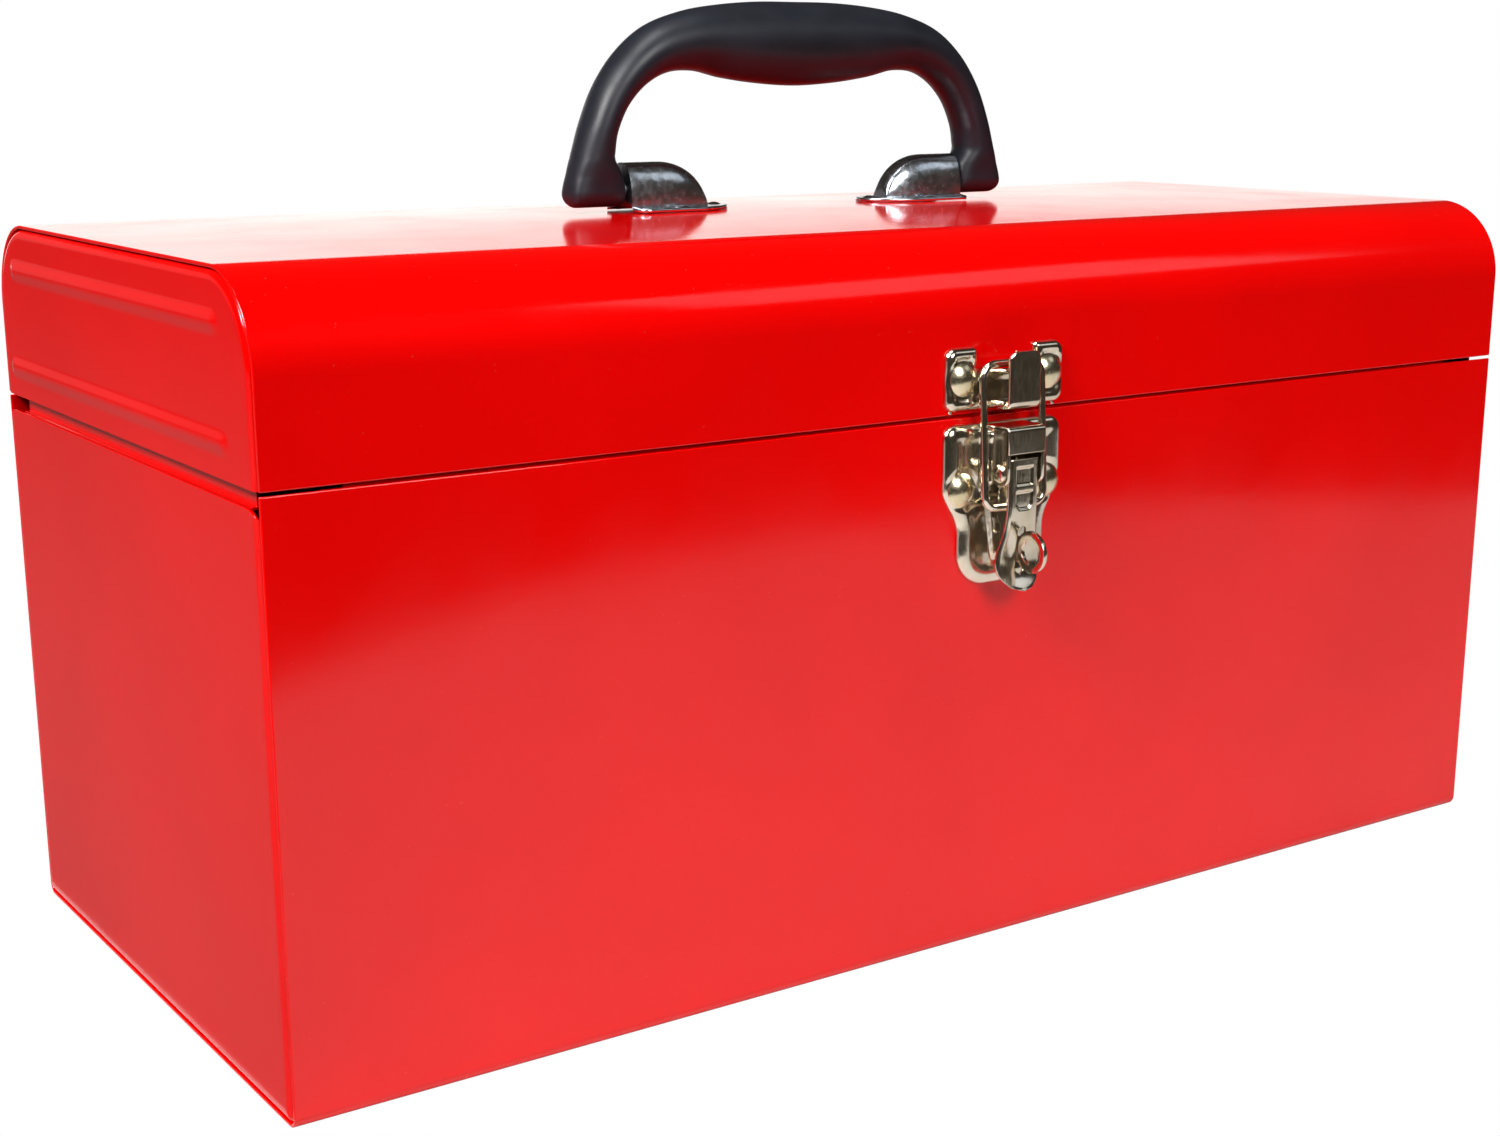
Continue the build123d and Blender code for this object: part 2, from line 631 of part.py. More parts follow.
base_rivets = [
    dome_rivet(front_place(x, z, PLATE_RISE), LATCH_RIVET_R, LATCH_RIVET_H, PLATE_RISE + SHEET)
    for x, z in low_rivets
]
save(Compound(base_rivets), "latch_base_rivets")

foot_rivet = dome_rivet(
    front_place(0, FOOT_RIVET_Z, PLATE_RISE),
    FOOT_RIVET_R,
    FOOT_RIVET_H,
    PLATE_T,
    tail_r=FOOT_TAIL_R,
    tail_h=FOOT_RIVET_H,
)
save(foot_rivet, "latch_foot_rivet")

# ---- pivot pin of the lever ------------------------------------------------------
PIN_HEAD_R = 2.4
PIN_HEAD_T = 1.0
with BuildPart() as latch_pivot_pin:
    with BuildSketch(SIDE_PLANE.offset(-EAR_OUT)):
        with Locations((LEVER_AXIS_OFF, LEVER_AXIS_Z)):
            Circle(LEVER_PIN_R)
    extrude(amount=2 * EAR_OUT)
    for start in (-EAR_OUT - PIN_HEAD_T, EAR_OUT):
        with BuildSketch(SIDE_PLANE.offset(start)):
            with Locations((LEVER_AXIS_OFF, LEVER_AXIS_Z)):
                Circle(PIN_HEAD_R)
        extrude(amount=PIN_HEAD_T)
    fillet(latch_pivot_pin.edges().group_by(Axis.X)[0], 0.6)
    fillet(latch_pivot_pin.edges().group_by(Axis.X)[-1], 0.6)
save(latch_pivot_pin.part, "latch_pivot_pin")

# ---- padlock eye: a flat loop that stands out through the lever's slot -----------
with BuildPart() as latch_padlock_eye:
    with BuildSketch(SIDE_PLANE.offset(-EYE_T / 2)):
        with Locations((EYE_OFF, EYE_Z)):
            Circle(EYE_R)
        with Locations((EYE_OFF / 2 + 0.5, EYE_Z)):
            Rectangle(EYE_OFF - 1.0, EYE_SHANK)
        with Locations((EYE_OFF, EYE_Z)):
            Circle(EYE_HOLE_R, mode=Mode.SUBTRACT)
    extrude(amount=EYE_T)
save(latch_padlock_eye.part, "latch_padlock_eye")

# ---- lever -----------------------------------------------------------------------
LEVER_T = 0.9
LEVER_FACE = 9.6          # front of the lever at its pivot end
LEVER_TOP_Z = 134.7
LEVER_NECK_Z = 121.0      # the lever is straight and narrow above this
TAIL_WIDE_Z = 107.5       # and widest here
# side outline of the lever's front skin: distance from the wall, z
LEVER_LINE = [
    (LEVER_FACE, LEVER_TOP_Z),
    (LEVER_FACE, LEVER_NECK_Z),
    (8.9, 115.0),
    (8.1, 109.0),
    (8.3, 104.0),
    (11.4, 100.0),
]
with BuildPart() as latch_lever:
    with BuildSketch(SIDE_PLANE.offset(-TAIL_HALF)):
        with BuildLine():
            straight = Line(LEVER_LINE[0], LEVER_LINE[1])
            curve = Spline(*LEVER_LINE[1:], tangents=[(0, -1), (0.45, -1)])
            back_curve = Spline(
                *[(off - LEVER_T, z) for off, z in LEVER_LINE[1:]], tangents=[(0, -1), (0.45, -1)]
            )
            Line(curve @ 1, back_curve @ 1)
            Line((LEVER_FACE - LEVER_T, LEVER_LINE[1][1]), (LEVER_FACE - LEVER_T, LEVER_LINE[0][1]))
            Line((LEVER_FACE - LEVER_T, LEVER_LINE[0][1]), LEVER_LINE[0])
        make_face()
    extrude(amount=2 * TAIL_HALF)
    # narrow between the ears, wide and round at the finger end
    with BuildSketch(FRONT_PLANE):
        with BuildLine():
            for side in (-1, 1):
                Line((0, LEVER_TOP_Z + 1), (side * LEVER_HALF, LEVER_TOP_Z + 1))
                Line((side * LEVER_HALF, LEVER_TOP_Z + 1), (side * LEVER_HALF, LEVER_NECK_Z))
                Spline(
                    (side * LEVER_HALF, LEVER_NECK_Z),
                    (side * 5.4, 115.5),
                    (side * TAIL_HALF, TAIL_WIDE_Z),
                    tangents=[(0, -1), (0.25 * side, -1)],
                )
                Spline(
                    (side * TAIL_HALF, TAIL_WIDE_Z),
                    (side * 5.8, 102.4),
                    (0, TAIL_TIP_Z),
                    tangents=[(0, -1), (-side, 0)],
                )
        make_face()
    extrude(amount=CUT, mode=Mode.INTERSECT)
    with BuildSketch(FRONT_PLANE):
        with Locations((0, EYE_Z)):
            SlotOverall(13.0, 2 * SLOT_HALF, rotation=90)
    extrude(amount=CUT, mode=Mode.SUBTRACT)
    # side flanges with the pivot and bail holes
    for side in (-1, 1):
        with BuildSketch(SIDE_PLANE.offset(side * (LEVER_HALF - LEVER_T / 2) - LEVER_T / 2)):
            with BuildLine():
                Polyline(
                    (LEVER_FACE - 0.3, 118.0),
                    (LEVER_FACE - 0.3, LEVER_TOP_Z),
                    (LEVER_AXIS_OFF - 1.0, LEVER_TOP_Z),
                    (LEVER_AXIS_OFF - 3.2, 132.8),
                    (BAIL_FOOT_OFF - 2.2, BAIL_FOOT_Z + 1.5),
                    (BAIL_FOOT_OFF - 2.2, BAIL_FOOT_Z - 1.2),
                    (BAIL_FOOT_OFF - 1.0, BAIL_FOOT_Z - 2.4),
                    (LEVER_FACE - 1.4, 116.0),
                    close=True,
                )
            make_face()
            with Locations((LEVER_AXIS_OFF, LEVER_AXIS_Z)):
                Circle(LEVER_PIN_HOLE_R, mode=Mode.SUBTRACT)
            with Locations((BAIL_FOOT_OFF, BAIL_FOOT_Z)):
                Circle(BAIL_HOLE_R, mode=Mode.SUBTRACT)
        extrude(amount=LEVER_T)
    # shallow pressed panel on the face
    with BuildSketch(FRONT_PLANE.offset(LEVER_FACE)):
        with Locations((0, 130.2)):
            RectangleRounded(5.8, 5.2, 0.6)
        with Locations((0, 123.8)):
            RectangleRounded(5.8, 5.0, 1.6)
    extrude(amount=-0.4, mode=Mode.SUBTRACT)
save(latch_lever.part, "latch_lever")

# ---- bail: one wire from lever hole to lever hole ------------------------------------
bail_lean = math.atan2(BAIL_FOOT_OFF - BAIL_TOP_OFF, BAIL_TOP_Z - BAIL_FOOT_Z)
bail_length = math.hypot(BAIL_FOOT_OFF - BAIL_TOP_OFF, BAIL_TOP_Z - BAIL_FOOT_Z)
BAIL_PLANE = Plane(
    origin=(LATCH_X, FRONT - BAIL_FOOT_OFF, BAIL_FOOT_Z),
    x_dir=(1, 0, 0),
    z_dir=(0, -math.cos(bail_lean), math.sin(bail_lean)),
)
BAIL_END = LEVER_HALF - LEVER_T - 0.2   # the wire's ends stand just inside the lever
with BuildPart() as latch_bail:
    with BuildLine(BAIL_PLANE) as wire:
        FilletPolyline(
            (-BAIL_END, 0),
            (-BAIL_HALF, 0),
            (-BAIL_HALF, bail_length),
            (BAIL_HALF, bail_length),
            (BAIL_HALF, 0),
            (BAIL_END, 0),
            radius=BAIL_BEND,
        )
    start = wire.line @ 0
    with BuildSketch(Plane(origin=start, z_dir=wire.line % 0)):
        Circle(BAIL_WIRE_R)
    sweep(path=wire.line)
save(latch_bail.part, "latch_bail")

# ---- strike on the lid: two dished wings and a tongue that hooks the bail -------------
NOTCH_HALF = 9.4
STRIP_TOP_Z = 157.6
TONGUE_CORNER = 2.4
TONGUE_T = 2.4            # thickness of the tongue's root
TONGUE_BEND = 1.6
LEDGE_T = 1.0
STRIKE_CORNER = 3.0
with BuildPart() as latch_strike:
    with BuildSketch(FRONT_PLANE):
        with Locations((0, (STRIKE_Z[0] + STRIKE_Z[1]) / 2)):
            RectangleRounded(2 * PLATE_HALF, STRIKE_Z[1] - STRIKE_Z[0], STRIKE_CORNER)
    extrude(amount=PLATE_RISE)
    fillet(latch_strike.edges().group_by(Axis.Y)[0], PLATE_ROUND)
    with BuildSketch(FRONT_PLANE):
        with Locations((0, (STRIKE_Z[0] + STRIKE_Z[1]) / 2)):
            RectangleRounded(
                2 * (PLATE_HALF - PLATE_T),
                STRIKE_Z[1] - STRIKE_Z[0] - 2 * PLATE_T,
                STRIKE_CORNER - PLATE_T,
            )
    extrude(amount=PLATE_RISE - PLATE_T, mode=Mode.SUBTRACT)
    with BuildSketch(FRONT_PLANE):
        with Locations((0, STRIP_TOP_Z)):
            Rectangle(2 * NOTCH_HALF, CUT, align=(Align.CENTER, Align.MIN))
    extrude(amount=PLATE_RISE, mode=Mode.SUBTRACT)
    # tongue: out along the bottom, up in front, with a shelf behind it
    with BuildSketch(SIDE_PLANE.offset(-TONGUE_HALF)):
        inner_off, outer_off = TONGUE_OFF
        root_z, end_z = TONGUE_Z
        with BuildLine():
            bend_start = (outer_off - TONGUE_BEND, root_z)
            bend_end = (outer_off, root_z + TONGUE_BEND)
            Polyline((PLATE_T, root_z + TONGUE_T), (PLATE_T, root_z), bend_start)
            RadiusArc(bend_start, bend_end, -TONGUE_BEND)
            Polyline(
                bend_end,
                (outer_off, end_z),
                (inner_off, end_z),
                (inner_off, LEDGE_Z),
                (PLATE_T, LEDGE_Z),
                (PLATE_T, LEDGE_Z - LEDGE_T),
                (inner_off, LEDGE_Z - LEDGE_T),
                (inner_off, root_z + TONGUE_T),
                (PLATE_T, root_z + TONGUE_T),
            )
        make_face()
    extrude(amount=2 * TONGUE_HALF)
    front_edges = latch_strike.edges().filter_by(Axis.Y).filter_by_position(
        Axis.Y, FRONT - TONGUE_OFF[1], FRONT - TONGUE_OFF[0]
    )
    fillet(front_edges.group_by(Axis.Z)[-1], TONGUE_CORNER)
    with BuildSketch(FRONT_PLANE):
        with Locations(*high_rivets):
            Circle(SHANK_HOLE_R)
    extrude(amount=PLATE_RISE, mode=Mode.SUBTRACT)
save(latch_strike.part, "latch_strike")

strike_rivets = [
    dome_rivet(front_place(x, z, PLATE_RISE), LATCH_RIVET_R, LATCH_RIVET_H, PLATE_RISE + SHEET)
    for x, z in high_rivets
]
save(Compound(strike_rivets), "strike_rivets")
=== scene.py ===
"""Looks of a red enamelled steel tool box: folded body, crowned lid, carry handle, draw latch.

Shapes are worked out in millimetres as numpy grids, in the frame of the CAD parts:
X along the box, front towards -Y, +Z up, origin in the middle of the underside.
"""

import math

import bpy
import bmesh
import numpy as np
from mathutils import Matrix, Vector


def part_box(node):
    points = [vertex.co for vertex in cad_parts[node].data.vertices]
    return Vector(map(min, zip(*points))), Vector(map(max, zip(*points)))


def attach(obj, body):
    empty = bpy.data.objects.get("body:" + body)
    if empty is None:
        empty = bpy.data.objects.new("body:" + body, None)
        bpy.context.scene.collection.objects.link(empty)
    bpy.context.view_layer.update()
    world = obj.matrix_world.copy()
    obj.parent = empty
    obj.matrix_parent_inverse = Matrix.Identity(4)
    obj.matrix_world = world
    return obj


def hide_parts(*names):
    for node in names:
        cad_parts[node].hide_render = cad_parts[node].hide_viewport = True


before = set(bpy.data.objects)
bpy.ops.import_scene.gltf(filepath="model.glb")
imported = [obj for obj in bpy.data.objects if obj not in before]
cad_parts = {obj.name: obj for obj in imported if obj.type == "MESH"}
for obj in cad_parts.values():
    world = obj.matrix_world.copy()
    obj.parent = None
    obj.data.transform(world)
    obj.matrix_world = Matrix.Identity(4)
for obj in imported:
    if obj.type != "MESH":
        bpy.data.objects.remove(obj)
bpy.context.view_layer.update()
MM = 0.001


# ---------------------------------------------------------------- measures ---
def box_mm(node):
    """Lowest and highest corners of a CAD node, in millimetres."""
    low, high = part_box(node)
    return np.array(low) / MM, np.array(high) / MM


wrap_low, wrap_high = box_mm("body_wrap")
end_low = box_mm("body_end_left")[0]
lid_low, lid_high = box_mm("lid_wrap")
plate_low, plate_high = box_mm("latch_base_plate")
strike_low, strike_high = box_mm("latch_strike")

HALF_LENGTH = -end_low[0]             # face of an end panel
WRAP_END = wrap_high[0]               # raw edge of the wrapped sheets
BACK = wrap_high[1]
SEAM_Z = wrap_high[2]
LID_EDGE_Z = lid_low[2]
SHEET = 0.9
CROWN = 2.1
LID_TOP_Z = lid_high[2] - CROWN
LID_BEND = 22.0
BODY_BEND = 3.0
END_BEND = 2.5
END_FLANGE = 12.0
LATCH_X = (plate_low[0] + plate_high[0]) / 2
FRONT = wrap_low[1]


# ----------------------------------------------------------- plane outlines --
def rounded_path(corners, radii, closed=False, step=6.0, guard=0.25):
    """Polyline through corners, each corner replaced by an arc of its radius.

    An arc starts radius * tan(turn / 2) before its corner and is sampled every
    step degrees; a guard point stands just outside each end of every arc.
    """
    pts = np.asarray(corners, float)
    count = len(pts)
    out = []
    for i in range(count):
        if not closed and i in (0, count - 1):
            out.append(pts[i][None])
            continue
        a, b, c = pts[i - 1], pts[i], pts[(i + 1) % count]
        into = (b - a) / np.linalg.norm(b - a)
        away = (c - b) / np.linalg.norm(c - b)
        turn = math.acos(np.clip(into @ away, -1, 1))
        radius = radii[i]
        if turn < 1e-4 or radius <= 0:
            out.append(b[None])
            continue
        cut = radius * math.tan(turn / 2)
        side = np.sign(into[0] * away[1] - into[1] * away[0])
        normal = side * np.array([-into[1], into[0]])
        centre = b - into * cut + normal * radius
        n = max(2, int(math.degrees(turn) / step)) + 1
        angle = np.linspace(0, turn, n)[:, None]
        arc = centre - normal * radius * np.cos(angle) + into * radius * np.sin(angle)
        lead = np.stack([b - into * (cut + guard)])
        tail = np.stack([b + away * (cut + guard)])
        out.append(np.concatenate([lead, arc, tail]))
    return np.concatenate(out)


def normals_of(path, closed=False):
    """Unit left-hand normals of a plane polyline, averaged at each point."""
    if closed:
        tangent = np.roll(path, -1, 0) - np.roll(path, 1, 0)
    else:
        tangent = np.gradient(path, axis=0)
    tangent /= np.linalg.norm(tangent, axis=1)[:, None]
    return np.stack([-tangent[:, 1], tangent[:, 0]], 1)


def thickened(path, thickness):
    """Closed loop of a sheet section: along the path and back, thickness to its left."""
    inner = path + normals_of(path) * thickness
    return np.concatenate([path, inner[::-1]])


def distance_inside(x, y, outline):
    """Distance of each point to the nearest edge of a closed outline."""
    a = outline
    b = np.roll(outline, -1, 0)
    ab = b - a
    p = np.stack([x, y], -1)[..., None, :]
    length2 = (ab ** 2).sum(-1) + 1e-12
    t = np.clip(((p - a) * ab).sum(-1) / length2, 0, 1)
    return np.linalg.norm(p - a - ab * t[..., None], axis=-1).min(-1)


def smooth(x):
    """Smooth step from 0 to 1."""
    x = np.clip(x, 0, 1)
    return x * x * (3 - 2 * x)


def graded(n, fine, reach):
    """n values from -1 to 1 with the outer reach (a share) sampled fine times denser."""
    edge = 1 - reach * (1 - np.sin(np.linspace(0, math.pi / 2, fine)))
    middle = np.linspace(-(1 - reach), 1 - reach, n)
    return np.concatenate([-edge[:0:-1], middle, edge[1:]])


def through(keys, values, at):
    """Smooth curve through values at keys: cubic pieces with slopes from the neighbours."""
    keys, values = np.asarray(keys, float), np.asarray(values, float)
    slopes = np.gradient(values, keys)
    i = np.clip(np.searchsorted(keys, at) - 1, 0, len(keys) - 2)
    h = keys[i + 1] - keys[i]
    t = (at - keys[i]) / h
    return (
        values[i] * (1 + 2 * t) * (1 - t) ** 2
        + slopes[i] * h * t * (1 - t) ** 2
        + values[i + 1] * t * t * (3 - 2 * t)
        + slopes[i + 1] * h * t * t * (t - 1)
    )


# ------------------------------------------------------------------ meshes ---
class Shell:
    """Grids of points that become one mesh."""

    def __init__(self):
        self.points = []
        self.faces = []
        self.count = 0

    def grid(self, points, closed=False, caps=False, flip=False):
        """Quads over a (rows, columns, 3) grid; closed joins the last column to the first."""
        points = np.asarray(points, float)
        rows, cols = points.shape[:2]
        index = np.arange(rows * cols).reshape(rows, cols) + self.count
        if closed:
            index = np.concatenate([index, index[:, :1]], 1)
        quads = np.stack([index[:-1, :-1], index[:-1, 1:], index[1:, 1:], index[1:, :-1]], -1)
        quads = quads.reshape(-1, 4)
        if flip:
            quads = quads[:, ::-1]
        self.faces += quads.tolist()
        if caps:
            first, last = index[0, :cols].tolist(), index[-1, :cols].tolist()
            self.faces += [first[::-1], last] if flip else [first, last[::-1]]
        self.points.append(points.reshape(-1, 3))
        self.count += rows * cols
        return self


def make_piece(name, shell, body, material, nodes=(), sharp=38.0, solidify=0.0, bevel=0.0):
    """A mesh object of a shell, riding on a body and standing for CAD nodes."""
    mesh = bpy.data.meshes.new(name)
    mesh.from_pydata((np.concatenate(shell.points) * MM).tolist(), [], shell.faces)
    work = bmesh.new()
    work.from_mesh(mesh)
    bmesh.ops.remove_doubles(work, verts=work.verts, dist=0.004 * MM)
    bmesh.ops.dissolve_degenerate(work, edges=work.edges, dist=0.002 * MM)
    bmesh.ops.recalc_face_normals(work, faces=work.faces)
    work.to_mesh(mesh)
    work.free()
    mesh.shade_smooth()
    mesh.set_sharp_from_angle(angle=math.radians(sharp))
    mesh.materials.append(material)
    obj = bpy.data.objects.new(name, mesh)
    bpy.context.scene.collection.objects.link(obj)
    if solidify:
        wall = obj.modifiers.new("wall", "SOLIDIFY")
        wall.thickness = solidify * MM
        wall.offset = -1.0
    if bevel:
        edge = obj.modifiers.new("edge", "BEVEL")
        edge.width = bevel * MM
        edge.segments = 2
        edge.limit_method = "ANGLE"
        edge.angle_limit = math.radians(50)
        edge.harden_normals = False
    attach(obj, body)
    if nodes:
        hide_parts(*nodes)
    return obj


def carried(loop, stations, lift=None):
    """Grid of a closed (y, z) loop carried along X; lift adds height as a function of x, y, z."""
    x = np.asarray(stations, float)
    grid = np.empty((len(x), len(loop), 3))
    grid[..., 0] = x[:, None]
    grid[..., 1] = loop[:, 0]
    grid[..., 2] = loop[:, 1]
    if lift is not None:
        grid[..., 2] += lift(grid[..., 0], grid[..., 1], grid[..., 2])
    return grid


def turned(profile, origin, axis, sides=40):
    """Grid of a (radius, height) profile turned about an axis through origin."""
    axis = np.asarray(axis, float) / np.linalg.norm(axis)
    helper = np.array([0, 0, 1.0]) if abs(axis[2]) < 0.9 else np.array([1.0, 0, 0])
    e1 = np.cross(axis, helper)
    e1 /= np.linalg.norm(e1)
    e2 = np.cross(axis, e1)
    angle = np.linspace(0, 2 * math.pi, sides, endpoint=False)
    ring = np.cos(angle)[:, None] * e1 + np.sin(angle)[:, None] * e2
    profile = np.asarray(profile, float)
    return (
        np.asarray(origin, float)
        + profile[:, 0, None, None] * ring[None]
        + profile[:, 1, None, None] * axis
    )


def on_front(u, off, z):
    """Points at u from the latch centre, off in front of the box's front wall, at height z."""
    u, off, z = np.broadcast_arrays(u, off, z)
    return np.stack([LATCH_X + u, FRONT - off, z], -1)


# --------------------------------------------------------------- materials ---
def linear(hex_colour):
    """Linear RGBA of an sRGB hex colour."""
    value = hex_colour.lstrip("#")
    rgb = np.array([int(value[i : i + 2], 16) for i in (0, 2, 4)]) / 255
    rgb = np.where(rgb <= 0.04045, rgb / 12.92, ((rgb + 0.055) / 1.055) ** 2.4)
    return (*rgb.tolist(), 1.0)


def add_node(tree, kind, settings=None, links=None):
    """Add a node, set its properties and sockets, and link its inputs."""
    node = tree.nodes.new(kind)
    for key, value in (settings or {}).items():
        if isinstance(key, str) and hasattr(node, key):
            setattr(node, key, value)
        else:
            node.inputs[key].default_value = value
    for key, source in (links or {}).items():
        tree.links.new(source, node.inputs[key])
    return node


def new_material(name, **shader):
    """A material with one Principled shader whose sockets are set from the keywords."""
    material = bpy.data.materials.new(name)
    material.use_nodes = True
    tree = material.node_tree
    principled = tree.nodes["Principled BSDF"]
    for key, value in shader.items():
        principled.inputs[key.replace("_", " ")].default_value = value
    place = add_node(tree, "ShaderNodeTexCoord").outputs["Object"]
    return material, tree, principled, place


def noise(tree, place, size_mm, detail=3.0, roughness=0.5):
    """Noise whose main features are size_mm across."""
    node = add_node(
        tree,
        "ShaderNodeTexNoise",
        {"Scale": 1 / (size_mm * MM), "Detail": detail, "Roughness": roughness},
        {"Vector": place},
    )
    return node.outputs["Fac"]


def spread(tree, value, low, high, to_low, to_high):
    """Map value from low..high to to_low..to_high, clamped."""
    node = add_node(
        tree,
        "ShaderNodeMapRange",
        {"From Min": low, "From Max": high, "To Min": to_low, "To Max": to_high},
        {"Value": value},
    )
    return node.outputs["Result"]


def blended(tree, factor, colour_a, colour_b):
    """Mix two colours, each a hex string or a socket, by factor."""
    node = add_node(tree, "ShaderNodeMix", {"data_type": "RGBA"})
    tree.links.new(factor, node.inputs[0])
    for socket, colour in ((node.inputs[6], colour_a), (node.inputs[7], colour_b)):
        if isinstance(colour, str):
            socket.default_value = linear(colour)
        else:
            tree.links.new(colour, socket)
    return node.outputs[2]


def bumped(tree, height, depth_mm, strength=1.0, below=None):
    """Bump of depth_mm from a height, over another normal when one is given."""
    links = {"Height": height}
    if below is not None:
        links["Normal"] = below
    node = add_node(tree, "ShaderNodeBump", {"Strength": strength, "Distance": depth_mm * MM}, links)
    return node.outputs["Normal"]


def powder_coat():
    """Gloss red powder coat baked on sheet steel: wet-looking, with faint orange
    peel every 2 to 3 mm, slow waves where the sheet isn't quite flat, and fine
    pale flecks painted into the colour as speckle highlights."""
    material, tree, shader, place = new_material(
        "red_powder_coat", Roughness=0.1, IOR=1.5, Specular_IOR_Level=0.5
    )
    tone = noise(tree, place, 70, 2)
    red = blended(tree, spread(tree, tone, 0.3, 0.7, 0, 1), "#D90000", "#E30000")
    # painted highlight: tiny pale flecks mixed into the red stand in for speckle glints on the gloss
    speckle_highlights = spread(tree, noise(tree, place, 1.3, 1), 0.77, 0.81, 0, 0.1)
    colour = blended(tree, speckle_highlights, red, "#E8695F")
    tree.links.new(colour, shader.inputs["Base Color"])
    haze = noise(tree, place, 30, 4)
    tree.links.new(spread(tree, haze, 0.3, 0.7, 0.09, 0.15), shader.inputs["Roughness"])
    peel = bumped(tree, noise(tree, place, 2.6, 2), 0.012)
    waves = bumped(tree, noise(tree, place, 60, 1, 0.3), 0.25, 1.0, peel)
    tree.links.new(waves, shader.inputs["Normal"])
    return material


def bright_nickel():
    """Bright nickel plate on pressed steel: warm mirror, softened by a tumbled
    surface, with faint drawing lines along the press direction."""
    material, tree, shader, place = new_material("bright_nickel_plate", Metallic=1.0, Roughness=0.2)
    tarnish = spread(tree, noise(tree, place, 9, 4, 0.6), 0.35, 0.7, 0, 1)
    colour = blended(tree, tarnish, "#E6DFD0", "#D0C4AC")
    tree.links.new(colour, shader.inputs["Base Color"])
    stretched = add_node(tree, "ShaderNodeMapping", {"Scale": (1.0, 1.0, 0.08)}, {"Vector": place})
    lines = noise(tree, stretched.outputs["Vector"], 0.3, 2)
    tree.links.new(spread(tree, lines, 0.3, 0.7, 0.13, 0.2), shader.inputs["Roughness"])
    fine = bumped(tree, lines, 0.0018)
    dents = bumped(tree, noise(tree, place, 3.5, 2), 0.035, 1.0, fine)
    tree.links.new(dents, shader.inputs["Normal"])
    return material


def satin_nickel():
    """Satin nickel on cold-headed rivets: warmer and duller than the plates,
    with a fine peened grain from the setting tool."""
    material, tree, shader, place = new_material("satin_nickel_rivets", Metallic=1.0, Roughness=0.3)
    tone = spread(tree, noise(tree, place, 4, 3), 0.3, 0.7, 0, 1)
    tree.links.new(blended(tree, tone, "#E9E0C4", "#D6C9A2"), shader.inputs["Base Color"])
    grain = noise(tree, place, 0.6, 2)
    tree.links.new(spread(tree, grain, 0.3, 0.7, 0.2, 0.28), shader.inputs["Roughness"])
    tree.links.new(bumped(tree, grain, 0.005), shader.inputs["Normal"])
    return material


def bright_chrome():
    """Decorative chrome over nickel: a cold clean mirror with barely visible
    polishing haze."""
    material, tree, shader, place = new_material("bright_chrome_plate", Metallic=1.0, Roughness=0.24)
    tone = spread(tree, noise(tree, place, 12, 2), 0.3, 0.7, 0, 1)
    tree.links.new(blended(tree, tone, "#DDE3EA", "#C2CAD3"), shader.inputs["Base Color"])
    haze = noise(tree, place, 1.5, 3)
    tree.links.new(spread(tree, haze, 0.3, 0.7, 0.18, 0.28), shader.inputs["Roughness"])
    tree.links.new(bumped(tree, noise(tree, place, 7, 2), 0.3), shader.inputs["Normal"])
    return material


def zinc_plate():
    """Zinc-plated hinge steel: dull grey with a crystalline bloom and rolling lines."""
    material, tree, shader, place = new_material("zinc_plated_steel", Metallic=1.0, Roughness=0.35)
    bloom = spread(tree, noise(tree, place, 5, 5, 0.65), 0.3, 0.7, 0, 1)
    tree.links.new(blended(tree, bloom, "#C3C5C8", "#9B9DA2"), shader.inputs["Base Color"])
    stretched = add_node(tree, "ShaderNodeMapping", {"Scale": (0.05, 1.0, 1.0)}, {"Vector": place})
    lines = noise(tree, stretched.outputs["Vector"], 0.4, 2)
    tree.links.new(spread(tree, lines, 0.3, 0.7, 0.26, 0.42), shader.inputs["Roughness"])
    tree.links.new(bumped(tree, lines, 0.01), shader.inputs["Normal"])
    return material


def moulded_black():
    """Black polypropylene, injection moulded: satin, slightly mottled by handling,
    with a fine spark-eroded grain of about 0.5 mm."""
    material, tree, shader, place = new_material(
        "moulded_black_polypropylene", Roughness=0.42, IOR=1.42, Specular_IOR_Level=0.5
    )
    tone = spread(tree, noise(tree, place, 18, 3), 0.3, 0.7, 0, 1)
    tree.links.new(blended(tree, tone, "#17191F", "#1F222A"), shader.inputs["Base Color"])
    wear = noise(tree, place, 10, 4)
    tree.links.new(spread(tree, wear, 0.3, 0.7, 0.36, 0.48), shader.inputs["Roughness"])
    tree.links.new(bumped(tree, noise(tree, place, 0.5, 2), 0.025), shader.inputs["Normal"])
    return material


RED = powder_coat()
NICKEL = bright_nickel()
RIVET = satin_nickel()
CHROME = bright_chrome()
ZINC = zinc_plate()
BLACK = moulded_black()


# ---------------------------------------------------------------- the box ----
def build_body_wrap():
    """Front, bottom and back: a thin U section carried along the box, and a hem
    strip folded down inside the front edge."""
    corners = [(-BACK, SEAM_Z), (-BACK, 0), (BACK, 0), (BACK, SEAM_Z)]
    path = rounded_path(corners, [0, BODY_BEND, BODY_BEND, 0])
    hem = 10.0
    hem_y = -BACK + SHEET
    hem_loop = rounded_path(
        [(hem_y, SEAM_Z - hem), (hem_y + SHEET, SEAM_Z - hem), (hem_y + SHEET, SEAM_Z), (hem_y, SEAM_Z)],
        [0, 0, 0.6, 0],
        closed=True,
        guard=0.05,
    )
    shell = Shell().grid(carried(thickened(path, SHEET), [-WRAP_END, WRAP_END]), closed=True, caps=True)
    hem_end = WRAP_END - 13.5
    shell.grid(carried(hem_loop, [-hem_end, hem_end]), closed=True, caps=True)
    make_piece("body_shell", shell, "body", RED, ["body_wrap"], bevel=0.25)


